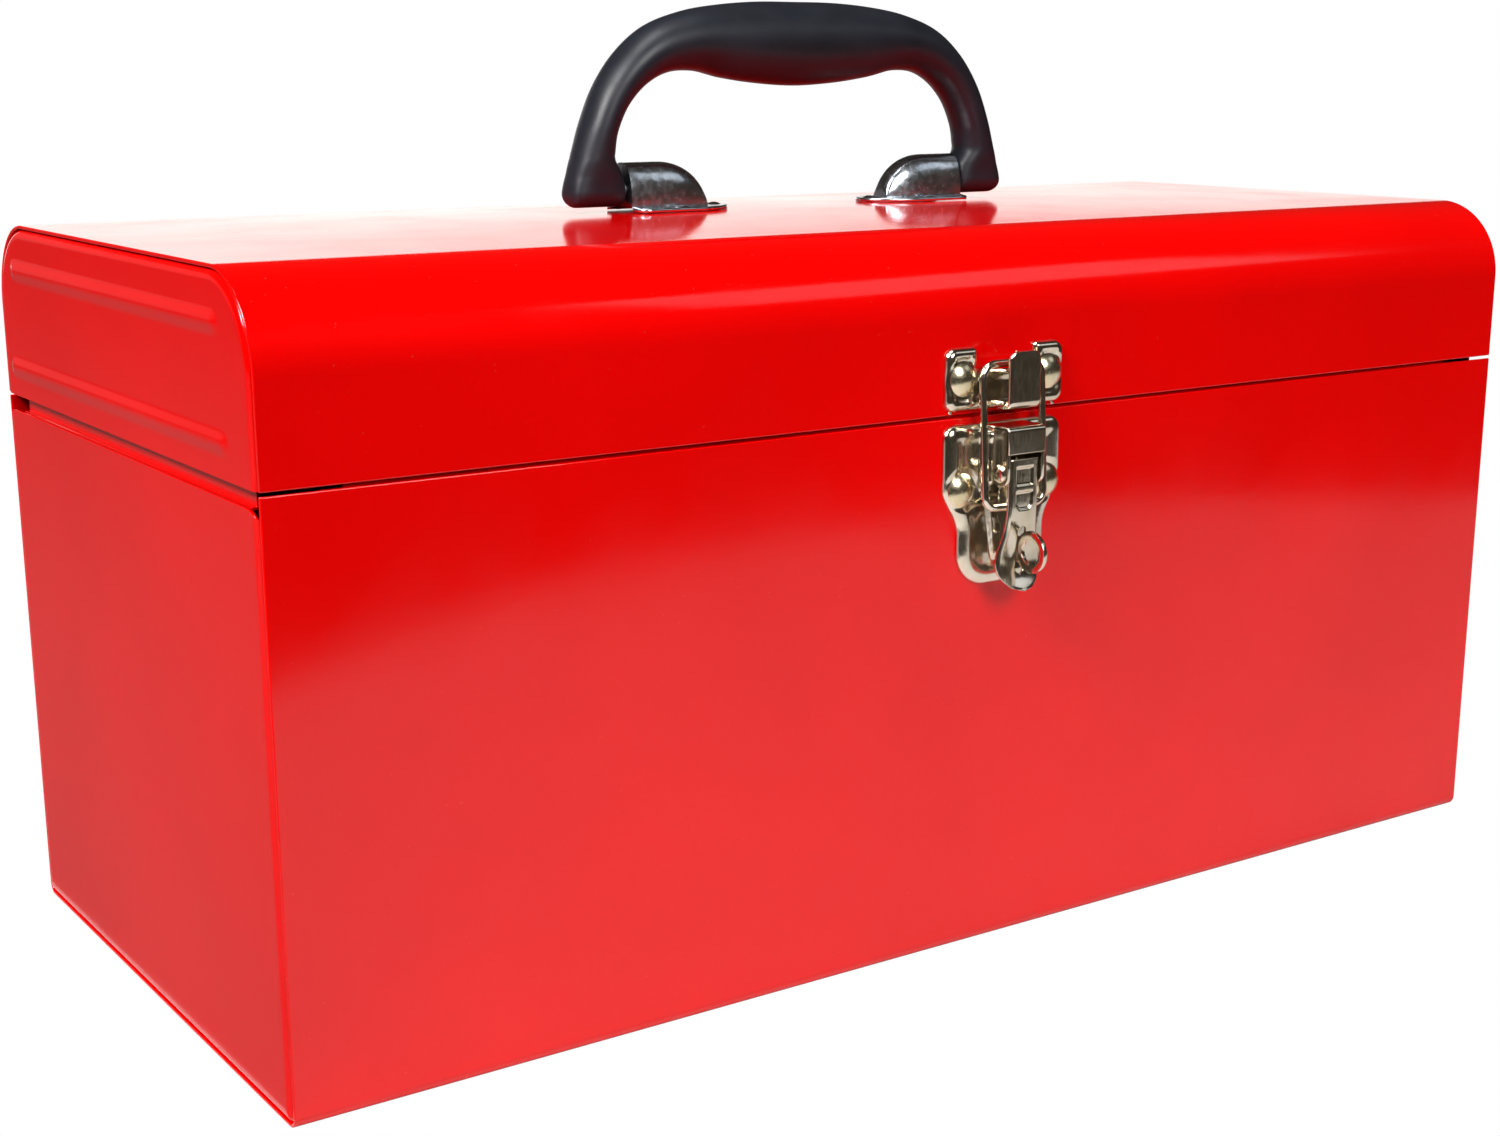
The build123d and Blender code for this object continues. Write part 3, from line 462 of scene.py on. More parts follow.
def build_front_lip():
    """Rain lip: a flat strip behind the seam with a rounded top edge."""
    low, high = box_mm("body_front_lip")
    loop = rounded_path(
        [(low[1], low[2]), (high[1], low[2]), (high[1], high[2]), (low[1], high[2])],
        [0, 0, 0.4, 0.4],
        closed=True,
        guard=0.02,
    )
    shell = Shell().grid(carried(loop, [low[0], high[0]]), closed=True, caps=True)
    make_piece("rain_lip", shell, "body", RED, ["body_front_lip"], bevel=0.15)


def rim_distance(y, z, half, closed_z, radius, direction):
    """Depth inside the rounded outline |y| = half, z = closed_z; direction +1 closes it above."""
    qy = np.abs(y) - (half - radius)
    qz = direction * (z - closed_z) + radius
    outside = np.hypot(np.maximum(qy, 0), np.maximum(qz, 0))
    return radius - outside - np.minimum(np.maximum(qy, qz), 0)


def end_panel(side, half, open_z, closed_z, radius, beads, open_corner):
    """One pressed end panel: a face whose rim turns inwards on a quarter circle,
    then a straight flange.

    Rows run from the open edge to the closed edge, and each row spans the outline's
    width there. Beads are cosine ridges about straight segments. The face stands at
    HALF_LENGTH less END_BEND - sqrt(END_BEND^2 - (END_BEND - depth)^2).
    """
    direction = 1.0 if closed_z > open_z else -1.0
    rows = (graded(150, 14, 0.06) + 1) / 2
    rows[0], rows[-1] = 0.0, 1.0
    cols = graded(170, 14, 0.028)
    height = abs(closed_z - open_z)
    z = open_z + direction * rows * height
    over = np.maximum(direction * (z - closed_z) + radius, 0)
    width = half - radius + np.sqrt(np.maximum(radius ** 2 - over ** 2, 0))
    y = width[:, None] * cols
    zz = np.broadcast_to(z[:, None], y.shape).copy()
    near_open = np.maximum(np.abs(y) - (half - open_corner), 0) / max(open_corner, 1e-6)
    drop = open_corner * 0.6 * (1 - np.sqrt(np.maximum(1 - near_open ** 2, 0)))
    zz += direction * drop * (1 - rows[:, None]) ** 6
    depth = np.clip(rim_distance(y, zz, half, closed_z, radius, direction), 0, None)
    bend = END_BEND - np.sqrt(np.maximum(END_BEND ** 2 - np.maximum(END_BEND - depth, 0) ** 2, 0))
    rise = np.zeros_like(y)
    for centre_y, bead_z, length in beads:
        along = np.maximum(np.abs(y - centre_y) - (length / 2 - BEAD_HALF), 0)
        away = np.hypot(along, zz - bead_z)
        rise += BEAD_RISE * np.cos(np.clip(away / BEAD_HALF, 0, 1) * math.pi / 2) ** 2
    x = HALF_LENGTH - bend + rise
    face = np.stack([side * x, y, zz], -1)
    edge = np.concatenate([face[:, 0], face[-1, 1:-1], face[::-1, -1]])
    reach = np.linspace(0, END_FLANGE - END_BEND, 3)[:, None, None] * np.array([-side, 0, 0])
    flange = edge[None] + reach
    return Shell().grid(face, flip=side > 0).grid(flange)


BEAD_HALF = 3.4
BEAD_RISE = 0.5
LID_BEADS = ((2.5, 180.0, 151.0), (4.5, 154.0, 159.0))


def build_ends():
    """Both end panels of body and lid, and the stepped lip above each body end."""
    for side, word in ((-1, "left"), (1, "right")):
        lid_end = end_panel(
            side, BACK - SHEET, LID_EDGE_Z, LID_TOP_Z - SHEET, LID_BEND - SHEET, LID_BEADS, 0.0
        )
        piece = make_piece(
            f"lid_end_{word}_panel", lid_end, "lid", RED, [f"lid_end_{word}"], solidify=SHEET
        )
        face_outwards(piece, (side, 0, 0))
        top_z = box_mm("body_end_left")[1][2] - LIP_RISE
        body_end = end_panel(side, BACK - SHEET, top_z, SHEET, BODY_BEND - SHEET, (), 6.0)
        piece = make_piece(
            f"body_end_{word}_panel", body_end, "body", RED,
            [f"body_end_{word}"], solidify=SHEET,
        )
        face_outwards(piece, (side, 0, 0))
        build_end_lip(side, word, top_z)


LIP_RISE = 7.6
LIP_STEP = 2.1


def build_end_lip(side, word, top_z):
    """The body end's top edge: steps inwards and rises as a lip inside the lid."""
    x = HALF_LENGTH
    section = rounded_path(
        [
            (x - SHEET, top_z - 0.5 * SHEET),
            (x - LIP_STEP - SHEET, top_z - 0.5 * SHEET),
            (x - LIP_STEP - SHEET, top_z + LIP_RISE),
        ],
        [0, 1.0, 0],
        guard=0.05,
    )
    loop = thickened(section, -SHEET * 0.9)
    y = np.array([-(BACK - 6.0), BACK - 12.0])
    grid = np.empty((2, len(loop), 3))
    grid[..., 0] = side * loop[:, 0]
    grid[..., 1] = y[:, None]
    grid[..., 2] = loop[:, 1]
    shell = Shell().grid(grid, closed=True, caps=True)
    make_piece(f"body_end_{word}_lip", shell, "body", RED, bevel=0.15)


def face_outwards(piece, direction):
    """Turn the whole mesh over if its faces look against direction on average."""
    mesh = piece.data
    normal = np.zeros(len(mesh.polygons) * 3)
    area = np.zeros(len(mesh.polygons))
    mesh.polygons.foreach_get("normal", normal)
    mesh.polygons.foreach_get("area", area)
    if (normal.reshape(-1, 3) * area[:, None]).sum(0) @ np.array(direction, float) < 0:
        mesh.flip_normals()


def build_lid_wrap():
    """Front, top and back of the lid: a thin inverted U carried along the box, its
    top raised by a dome that is a parabola both ways."""
    flat = BACK - LID_BEND

    def crown(x, y, z):
        across = np.clip(1 - (y / flat) ** 2, 0, 1)
        on_top = z > LID_TOP_Z - 1.5 * SHEET
        return CROWN * (1 - (x / WRAP_END) ** 2) * across * on_top

    path = rounded_path(
        [(-BACK, LID_EDGE_Z), (-BACK, LID_TOP_Z), (BACK, LID_TOP_Z), (BACK, LID_EDGE_Z)],
        [0, LID_BEND, LID_BEND, 0],
        step=3.0,
    )
    gaps = np.linalg.norm(np.diff(path, axis=0), axis=1)
    long_gap = int(np.argmax(gaps))
    top = np.linspace(path[long_gap], path[long_gap + 1], 36)[1:-1]
    path = np.concatenate([path[: long_gap + 1], top, path[long_gap + 1 :]])
    stations = np.linspace(-WRAP_END, WRAP_END, 61)
    shell = Shell().grid(carried(thickened(path, -SHEET), stations, crown), closed=True, caps=True)
    make_piece("lid_shell", shell, "lid", RED, ["lid_wrap"], bevel=0.25)


# ------------------------------------------------------------------- hinge ---
def build_hinge():
    """Rear hinge: each leaf is a strip with every other knuckle rolled on a pin."""
    pin_low, pin_high = box_mm("hinge_pin")
    pin_y, pin_z = (pin_low[1] + pin_high[1]) / 2, (pin_low[2] + pin_high[2]) / 2
    length = pin_high[0] - pin_low[0]
    knuckles = 15
    pitch = length / knuckles
    gap = 0.4
    leaf_t = 0.9
    knuckle_r = 2.2
    leaf_reach = 19.0
    for node, body, direction, first in (
        ("hinge_leaf_body", "body", -1, 0),
        ("hinge_leaf_lid", "lid", 1, 1),
    ):
        far = pin_z + direction * leaf_reach
        near = pin_z + direction * (knuckle_r + 0.65)
        strip = rounded_path(
            [(BACK, far), (BACK + leaf_t, far), (BACK + leaf_t, near), (BACK, near)],
            [0, 0.35, 0.2, 0],
            closed=True,
            guard=0.02,
        )
        shell = Shell().grid(carried(strip, [-length / 2, length / 2]), closed=True, caps=True)
        angle = np.radians(np.linspace(215, -105, 44))
        roll = np.stack(
            [pin_y + knuckle_r * np.cos(angle), pin_z - direction * knuckle_r * np.sin(angle)], 1
        )
        neck = np.array([[BACK + 0.05, near], [BACK + 0.12, near - direction * 0.5]])
        section = np.concatenate([neck, roll])
        loop = thickened(section, direction * leaf_t)
        for index in range(first, knuckles, 2):
            start = -length / 2 + index * pitch
            ends = [start + gap / 2, start + pitch - gap / 2]
            shell.grid(carried(loop, ends), closed=True, caps=True)
        make_piece(node.replace("leaf", "strip"), shell, body, ZINC, [node], bevel=0.1)
    pin = turned([(0, 0), (1.0, 0), (1.2, 0.2), (1.2, length - 0.2), (1.0, length), (0, length)],
                 (pin_low[0], pin_y, pin_z), (1, 0, 0), 24)
    make_piece("hinge_rod", Shell().grid(pin, closed=True), "body", ZINC, ["hinge_pin"])


def rivet_profile(radius, height, grip, shank=1.6, tail=0.9):
    """Domed head over a shank with a set tail: a circular cap, its flat underside,
    the shank, and the wider tail."""
    ball = (radius ** 2 + height ** 2) / (2 * height)
    r = radius * np.sin(np.linspace(0, math.pi / 2, 16))
    z = np.sqrt(ball ** 2 - r ** 2) - (ball - height)
    cap = np.stack([r, z], 1)
    rest = [
        (radius, -0.05),
        (shank, -0.05),
        (shank, -grip),
        (shank + 0.7, -grip),
        (shank + 0.7, -grip - tail * 0.7),
        (shank + 0.3, -grip - tail),
        (0, -grip - tail),
    ]
    return np.concatenate([cap, rest])


def build_rivets():
    """Every rivet group, one piece per CAD node, each head at its solid's place."""
    hinge_x = np.linspace(-160, 160, 5)
    for node, body in (("hinge_rivets_body", "body"), ("hinge_rivets_lid", "lid")):
        low, high = box_mm(node)
        z = (low[2] + high[2]) / 2
        shell = Shell()
        for x in hinge_x:
            shell.grid(turned(rivet_profile(3.0, 1.2, 1.8), (x, BACK + 0.9, z), (0, 1, 0), 28), closed=True)
        make_piece(node.replace("rivets", "studs"), shell, body, ZINC, [node])
    off = RISE - 0.2
    for node, body in (("latch_base_rivets", "body"), ("strike_rivets", "lid")):
        low, high = box_mm(node)
        z = (low[2] + high[2]) / 2
        spread_x = (high[0] - low[0]) / 2 - HEAD_R
        shell = Shell()
        for u in (-spread_x, spread_x):
            shell.grid(turned(rivet_profile(4.5, 1.8, 2.4), on_front(u, off, z), (0, -1, 0), 44), closed=True)
        make_piece(node.replace("rivets", "heads"), shell, body, RIVET, [node])
    low, high = box_mm("latch_foot_rivet")
    place = on_front(0, RISE - 0.1, (low[2] + high[2]) / 2)
    head = turned(rivet_profile(2.0, 0.8, 1.0, 1.2, 0.5), place, (0, -1, 0), 28)
    shell = Shell().grid(head, closed=True)
    make_piece("latch_foot_head", shell, "body", RIVET, ["latch_foot_rivet"])


# ------------------------------------------------------------------ handle ---
FLANGE_Z = LID_TOP_Z + CROWN
FLANGE_T = 1.1
BRACKET_RIVETS = ((27.2, 0.0), (43.0, 8.3), (43.0, -8.3))


def build_brackets():
    """Each bracket is one pressed sheet. At every x its section runs in from the
    flange's edge, turns up into the hood and back down: the hood is the curve
    |y / w|^2.5 + |h / H|^2.5 = 1, with H an ellipse over the nose."""
    low, high = box_mm("handle_bracket_left")
    outer_x, tip_x = low[0], high[0]
    crest = high[2] - FLANGE_Z - FLANGE_T
    flat_end = outer_x + 11.0
    nose_end = outer_x + 26.0
    widest_x = -38.0
    corner_r = 3.0
    hood_half = 5.8
    wide = high[1]
    x = np.unique(
        np.concatenate(
            [
                np.linspace(outer_x, flat_end, 8),
                nose_end - (nose_end - flat_end) * (1 - np.sin(np.linspace(0, math.pi / 2, 22))),
                np.linspace(nose_end, tip_x - 2, 10),
                tip_x - 2 * (1 - np.sin(np.linspace(0, math.pi / 2, 8))),
            ]
        )
    )
    nose = np.clip((x - flat_end) / (nose_end - flat_end), 0, 1)
    height = crest * np.sqrt(np.maximum(1 - nose ** 2, 0))
    half = hood_half * (1 - 0.45 * nose ** 2.5)
    along = np.clip((x - widest_x) / (tip_x - widest_x), 0, 1)
    flange = 0.05 + (wide - 0.05) * np.sqrt(np.maximum(1 - along ** 1.6, 0))
    corner = np.clip(1 - (x - outer_x) / corner_r, 0, 1)
    flange -= corner_r * (1 - np.sqrt(1 - corner ** 2))
    half = np.minimum(half, flange * 0.72)
    share = np.concatenate([np.linspace(0, 1, 7)[:-1], np.linspace(1, 3, 39), np.linspace(3, 4, 7)[1:]])
    on_left = share < 1
    on_right = share > 3
    phi = (np.clip(share, 1, 3) - 1) / 2 * math.pi
    cos, sin = -np.cos(phi), np.sin(phi)
    power = 2 / 2.5
    hood_y = half[:, None] * np.sign(cos) * np.abs(cos) ** power
    hood_z = height[:, None] * np.abs(sin) ** power
    z = FLANGE_Z + FLANGE_T + hood_z
    left = -flange[:, None] + (flange - half)[:, None] * share
    right = half[:, None] + (flange - half)[:, None] * (share - 3)
    y = np.where(on_left, left, np.where(on_right, right, hood_y))
    foot = 0.9 * np.exp(-np.abs(np.abs(y) - half[:, None]) / 0.8) * (height[:, None] > 0.5)
    z = np.where(on_left | on_right, z + foot * np.minimum(height[:, None] / crest, 1) * 0.6, z)
    skin = np.stack([np.broadcast_to(x[:, None], y.shape), y, z], -1)
    wall_z = np.linspace(0, 1, 5)[:, None, None]
    hood_only = skin[0][(share >= 1) & (share <= 3)]
    base = hood_only * np.array([1, 1, 0]) + np.array([0, 0, FLANGE_Z + FLANGE_T])
    wall = base + (hood_only - base) * wall_z
    for side, word in ((1, "left"), (-1, "right")):
        shell = Shell().grid(skin * [side, 1, 1]).grid(wall * [side, 1, 1])
        piece = make_piece(
            f"handle_bracket_{word}_pressing", shell, "lid", CHROME,
            [f"handle_bracket_{word}"], solidify=1.0, sharp=50,
        )
        face_outwards(piece, (0, 0, 1))
    shell = Shell()
    for side in (-1, 1):
        for x_at, y_at in BRACKET_RIVETS:
            place = (side * x_at, y_at, FLANGE_Z + FLANGE_T)
            shell.grid(turned(rivet_profile(2.0, 0.6, 2.3, 1.3, 0.9), place, (0, 0, 1), 28), closed=True)
    make_piece("bracket_studs", shell, "lid", CHROME, ["bracket_rivets"])


# middle of the grip to the foot: x, z, lean in degrees, half height, half width,
# and the exponent of the section (2 is an ellipse, more is squarer)
GRIP = np.array(
    [
        (0.0, 238.7, 0.0, 11.4, 11.0, 2.0),
        (13.0, 239.0, 0.0, 11.0, 10.8, 2.0),
        (25.0, 239.3, 2.0, 9.8, 10.2, 2.0),
        (35.5, 239.3, 12.0, 8.1, 9.4, 2.0),
        (45.6, 237.1, 28.0, 6.9, 8.6, 2.0),
        (53.8, 232.0, 45.0, 5.8, 7.9, 2.0),
        (60.0, 224.9, 60.0, 5.1, 7.2, 2.0),
        (63.9, 216.8, 74.0, 4.9, 6.9, 2.05),
        (65.8, 209.6, 86.0, 5.6, 6.5, 2.2),
    ]
)


FOOT_HALF_WIDTH = 5.7


def build_handle():
    """Carry handle: superellipse sections stand across a curved centreline. Below
    the legs the section widens inwards over the pin, and the underside is round
    about it: half width W sqrt(1 - ((pin height - z) / R)^2)."""
    low, high = box_mm("handle_grip")
    pin_low, pin_high = box_mm("handle_pins")
    pin_z = (pin_low[2] + pin_high[2]) / 2
    foot_r = pin_z - low[2]
    foot_out, foot_in = high[0], box_mm("handle_bracket_right")[1][0] + 0.6
    whole = np.concatenate([GRIP[:0:-1] * [-1, 1, -1, 1, 1, 1], GRIP])
    keys = np.arange(1.0 - len(GRIP), len(GRIP))
    at = np.linspace(0, len(GRIP) - 1, 97)
    cx, cz, lean, half_h, half_w, power = (through(keys, whole[:, i], at) for i in range(6))
    angle = np.linspace(0, 2 * math.pi, 56, endpoint=False)

    def section(power_at):
        """Unit superellipse: |a|^p + |b|^p = 1 for each row's exponent."""
        p = 2 / np.asarray(power_at)[:, None]
        return (
            np.sign(np.cos(angle)) * np.abs(np.cos(angle)) ** p,
            np.sign(np.sin(angle)) * np.abs(np.sin(angle)) ** p,
        )

    across, up = section(power)
    turn = np.radians(lean)[:, None]
    x = cx[:, None] + half_h[:, None] * up * np.sin(turn)
    y = half_w[:, None] * across
    z = cz[:, None] + half_h[:, None] * up * np.cos(turn)
    arm = np.stack([x, y, z], -1)
    # the foot, from the leg's last section down to its round underside
    start_z = GRIP[-1, 1]
    underside = 0.62 + 0.38 * np.sin(np.linspace(0.08, math.pi / 2, 22))
    drop = np.concatenate([np.linspace(0.06, 0.62, 16), underside])
    level = start_z - drop * (start_z - low[2])
    inner_at = through([0, 0.1, 0.22, 0.36, 0.52, 1.0], [60.2, 60.1, 59.2, 58.1, foot_in, foot_in], drop)
    outer_at = through([0, 0.3, 0.6, 1.0], [71.4, 72.7, 73.7, foot_out], drop)
    corner = np.clip((drop - 0.72) / 0.28, 0, 1)
    outer_at -= 2.6 * (1 - np.sqrt(1 - corner ** 2))
    inner_at += 0.8 * (1 - np.sqrt(1 - corner ** 2))
    below = np.maximum(pin_z - level, 0)
    narrowed = smooth(drop * (start_z - low[2]) / (start_z - pin_z))
    foot_w = FOOT_HALF_WIDTH * np.sqrt(np.maximum(1 - (below / foot_r) ** 2, 0))
    foot_w += (GRIP[-1, 4] - FOOT_HALF_WIDTH) * (1 - narrowed)
    across, up = section(np.interp(drop, [0, 0.4, 1], [2.2, 2.8, 5.0]))
    middle, reach = (inner_at + outer_at) / 2, (outer_at - inner_at) / 2
    foot = np.stack(
        [
            middle[:, None] + reach[:, None] * up,
            foot_w[:, None] * across,
            np.broadcast_to(level[:, None], across.shape),
        ],
        -1,
    )
    half_handle = np.concatenate([arm, foot])
    mirrored = half_handle[:0:-1] * [-1, 1, 1]
    rings = np.concatenate([mirrored, half_handle])
    shell = Shell().grid(rings, closed=True)
    make_piece("carry_handle", shell, "handle", BLACK, ["handle_grip"], sharp=60)
    pin_inside, pin_length = 4.6, 14.4
    pins = Shell()
    for side in (-1, 1):
        start = side * (foot_in - pin_inside)
        profile = [(0, 0), (1.5, 0), (1.9, 0.4), (1.9, pin_length), (0, pin_length)]
        pins.grid(turned(profile, (start, 0, pin_z), (side, 0, 0), 24), closed=True)
    make_piece("handle_pivots", pins, "handle", ZINC, ["handle_pins"])


# ------------------------------------------------------------------- latch ---
RISE = 2.0                            # height of the pressed plates over the wall
HEAD_R = 4.6                          # outside of a latch rivet's head
SEAT_R = 4.9                          # dished seat round that head
EAR_OUT = 6.2
LEVER_HALF = 4.9
LEVER_T = 0.9
pin_low, pin_high = box_mm("latch_pivot_pin")
LEVER_Z = (pin_low[2] + pin_high[2]) / 2
LEVER_OFF = FRONT - (pin_low[1] + pin_high[1]) / 2


def rolled_rim(depth, rise, width):
    """Height of a pressed plate at a depth inside its edge: a quarter ellipse that
    climbs to rise over width."""
    return rise * np.sqrt(np.maximum(1 - (1 - np.clip(depth / width, 0, 1)) ** 2, 0))


def cup(u, z, at_u, at_z, radius, deep):
    """Round dished seat for a rivet head."""
    return deep * smooth((radius + 1.2 - np.hypot(u - at_u, z - at_z)) / 1.6)


def build_base_plate():
    """Base plate: a dished pressing over its outline, the pivot ears either side
    of the lever, and the bridge that joins them above it."""
    top_z, bottom_z = plate_high[2], plate_low[2]
    half = (plate_high[0] - plate_low[0]) / 2
    shoulder_z = top_z - 17.6
    waist = half - 5.0
    corners = [(half, top_z), (half, shoulder_z), (waist, shoulder_z - 9.0), (waist, bottom_z)]
    radii = [3.6, 7.0, 9.0, 9.5]
    right = rounded_path([(0, top_z)] + corners + [(0, bottom_z)], [0] + radii + [0], guard=0.05)
    outline = np.concatenate([right, right[-2:0:-1] * [-1, 1]])
    order = np.argsort(right[:, 1], kind="stable")
    rows = bottom_z + (top_z - bottom_z) * (graded(84, 12, 0.06) + 1) / 2
    rows[0], rows[-1] = bottom_z, top_z
    width = np.interp(rows, right[order, 1], right[order, 0])
    width[0], width[-1] = right[-3, 0], right[2, 0]
    u = width[:, None] * graded(64, 12, 0.2)
    z = np.broadcast_to(rows[:, None], u.shape)
    depth = distance_inside(u, z, outline)
    off = rolled_rim(depth, RISE + 0.1, 3.0) - 0.35 * smooth((depth - 3.0) / 2.5)
    off = np.maximum(off, 0)
    rivet_z = sum(box_mm("latch_base_rivets")[i][2] for i in (0, 1)) / 2
    spread_x = (box_mm("latch_base_rivets")[1][0] - box_mm("latch_base_rivets")[0][0]) / 2 - HEAD_R
    for at_u in (-spread_x, spread_x):
        off -= cup(u, z, at_u, rivet_z, SEAT_R, 0.35)
    # skirts that carry the ears, and the wedge that stiffens the foot
    skirt_z = LEVER_Z - 5.5
    skirt = smooth((8.9 - np.abs(u)) / 2.6) * smooth((np.abs(u) - 4.9) / 0.5)
    off += 2.4 * skirt * smooth((z - skirt_z) / 3.0) * smooth((top_z - 0.6 - z) / 2.0)
    wedge_half = 4.2 + 2.6 * (z - 106.0) / 18.0
    wedge = smooth((wedge_half - np.abs(u)) / 0.9)
    wedge = wedge * smooth((skirt_z - z) / 2) * smooth((z - 107.0) / 2.5)
    off += 1.1 * wedge
    shell = Shell().grid(on_front(u, off, z))
    plate = make_piece(
        "latch_base_pressing", shell, "body", NICKEL, ["latch_base_plate"],
        solidify=0.8, sharp=60,
    )
    face_outwards(plate, (0, -1, 0))
    bridge_off = FRONT - plate_low[1]
    bridge_top, bridge_bottom = top_z - 0.4, top_z - 7.4
    fold = rounded_path(
        [(1.2, bridge_top), (bridge_off, bridge_top), (bridge_off, bridge_bottom)], [0, 1.3, 0], guard=0.1
    )
    loop = thickened(fold, -1.0)
    u_ends = np.array([-EAR_OUT, EAR_OUT])
    bridge = on_front(u_ends[:, None], loop[None, :, 0], loop[None, :, 1])
    shell = Shell().grid(bridge, closed=True, caps=True)
    angle = np.radians(np.linspace(-20, -150, 14))
    round_end = np.stack([LEVER_OFF + 3.5 * np.cos(angle), LEVER_Z + 3.5 * np.sin(angle)], 1)
    ear = np.concatenate(
        [
            [(1.2, bridge_top - 0.2), (bridge_off - 1.0, bridge_top - 0.2)],
            [(bridge_off - 0.15, bridge_top - 1.2), (bridge_off - 0.15, LEVER_Z + 2.0)],
            round_end,
            [(1.2, LEVER_Z - 4.6)],
        ]
    )
    for side in (-1, 1):
        faces_u = np.array([side * (EAR_OUT - 0.9), side * EAR_OUT])
        shell.grid(on_front(faces_u[:, None], ear[None, :, 0], ear[None, :, 1]), closed=True, caps=True)
    make_piece("latch_bridge", shell, "body", NICKEL, bevel=0.22)


def build_pivot_pin():
    """Lever pivot: a rod with a domed head outside each ear."""
    length = pin_high[0] - pin_low[0]
    head = [(0, 0), (1.3, 0.08), (2.0, 0.35), (2.35, 0.75), (2.35, 1.0), (1.3, 1.0)]
    profile = head + [(r, length - z) for r, z in reversed(head)]
    grid = turned(profile, (pin_low[0], FRONT - LEVER_OFF, LEVER_Z), (1, 0, 0), 32)
    shell = Shell().grid(grid, closed=True)
    make_piece("latch_pivot", shell, "body", NICKEL, ["latch_pivot_pin"])


def build_padlock_eye():
    """Padlock eye: a flat loop with its shank, seen from the eye's middle: the outer
    radius is the loop's, or the shank's straight sides where those reach further."""
    low, high = box_mm("latch_padlock_eye")
    ring_r = (high[2] - low[2]) / 2
    hole_r = 3.2
    off = FRONT - low[1] - ring_r
    z = (low[2] + high[2]) / 2
    half_t = (high[0] - low[0]) / 2
    angle = np.linspace(0, 2 * math.pi, 120, endpoint=False)
    towards = -np.cos(angle)
    with np.errstate(divide="ignore", invalid="ignore"):
        sides = 3.4 / np.abs(np.sin(angle))
        back = (off - 0.5) / towards
    shank = np.where(towards > 0.05, np.minimum(sides, back), 0)
    outer = np.maximum(ring_r, shank)
    round_off = 0.42
    section = np.array(
        [(0.0, -half_t + round_off), (0.0, half_t - round_off), (round_off * 0.3, half_t - round_off * 0.3),
         (round_off, half_t), (-round_off, half_t), (-round_off * 0.3, half_t - round_off * 0.3),
         (0.0, half_t - round_off), (0.0, -half_t + round_off), (-round_off * 0.3, -half_t + round_off * 0.3),
         (-round_off, -half_t), (round_off, -half_t), (round_off * 0.3, -half_t + round_off * 0.3)]
    )
    inner_side = np.array([1, 1, 1, 1, 0, 0, 0, 0, 0, 0, 1, 1], bool)
    radius = np.where(inner_side[:, None], hole_r + section[:, 0, None], outer[None] + section[:, 0, None])
    points = on_front(
        np.broadcast_to(section[:, 1, None], radius.shape),
        off + radius * np.cos(angle),
        z + radius * np.sin(angle),
    )
    ring = np.concatenate([points, points[:1]])
    shell = Shell().grid(ring, closed=True)
    make_piece("padlock_loop", shell, "body", NICKEL, ["latch_padlock_eye"])


# height, distance of the face from the wall, half width
LEVER_KEYS = np.array(
    [(135.8, 9.6, 4.9), (128.0, 9.6, 4.9), (121.0, 9.6, 4.95), (115.0, 8.9, 5.5), (109.0, 8.1, 7.1),
     (106.0, 8.2, 7.4), (104.0, 8.7, 7.1), (102.0, 9.8, 5.6), (100.2, 11.1, 0.4)]
)


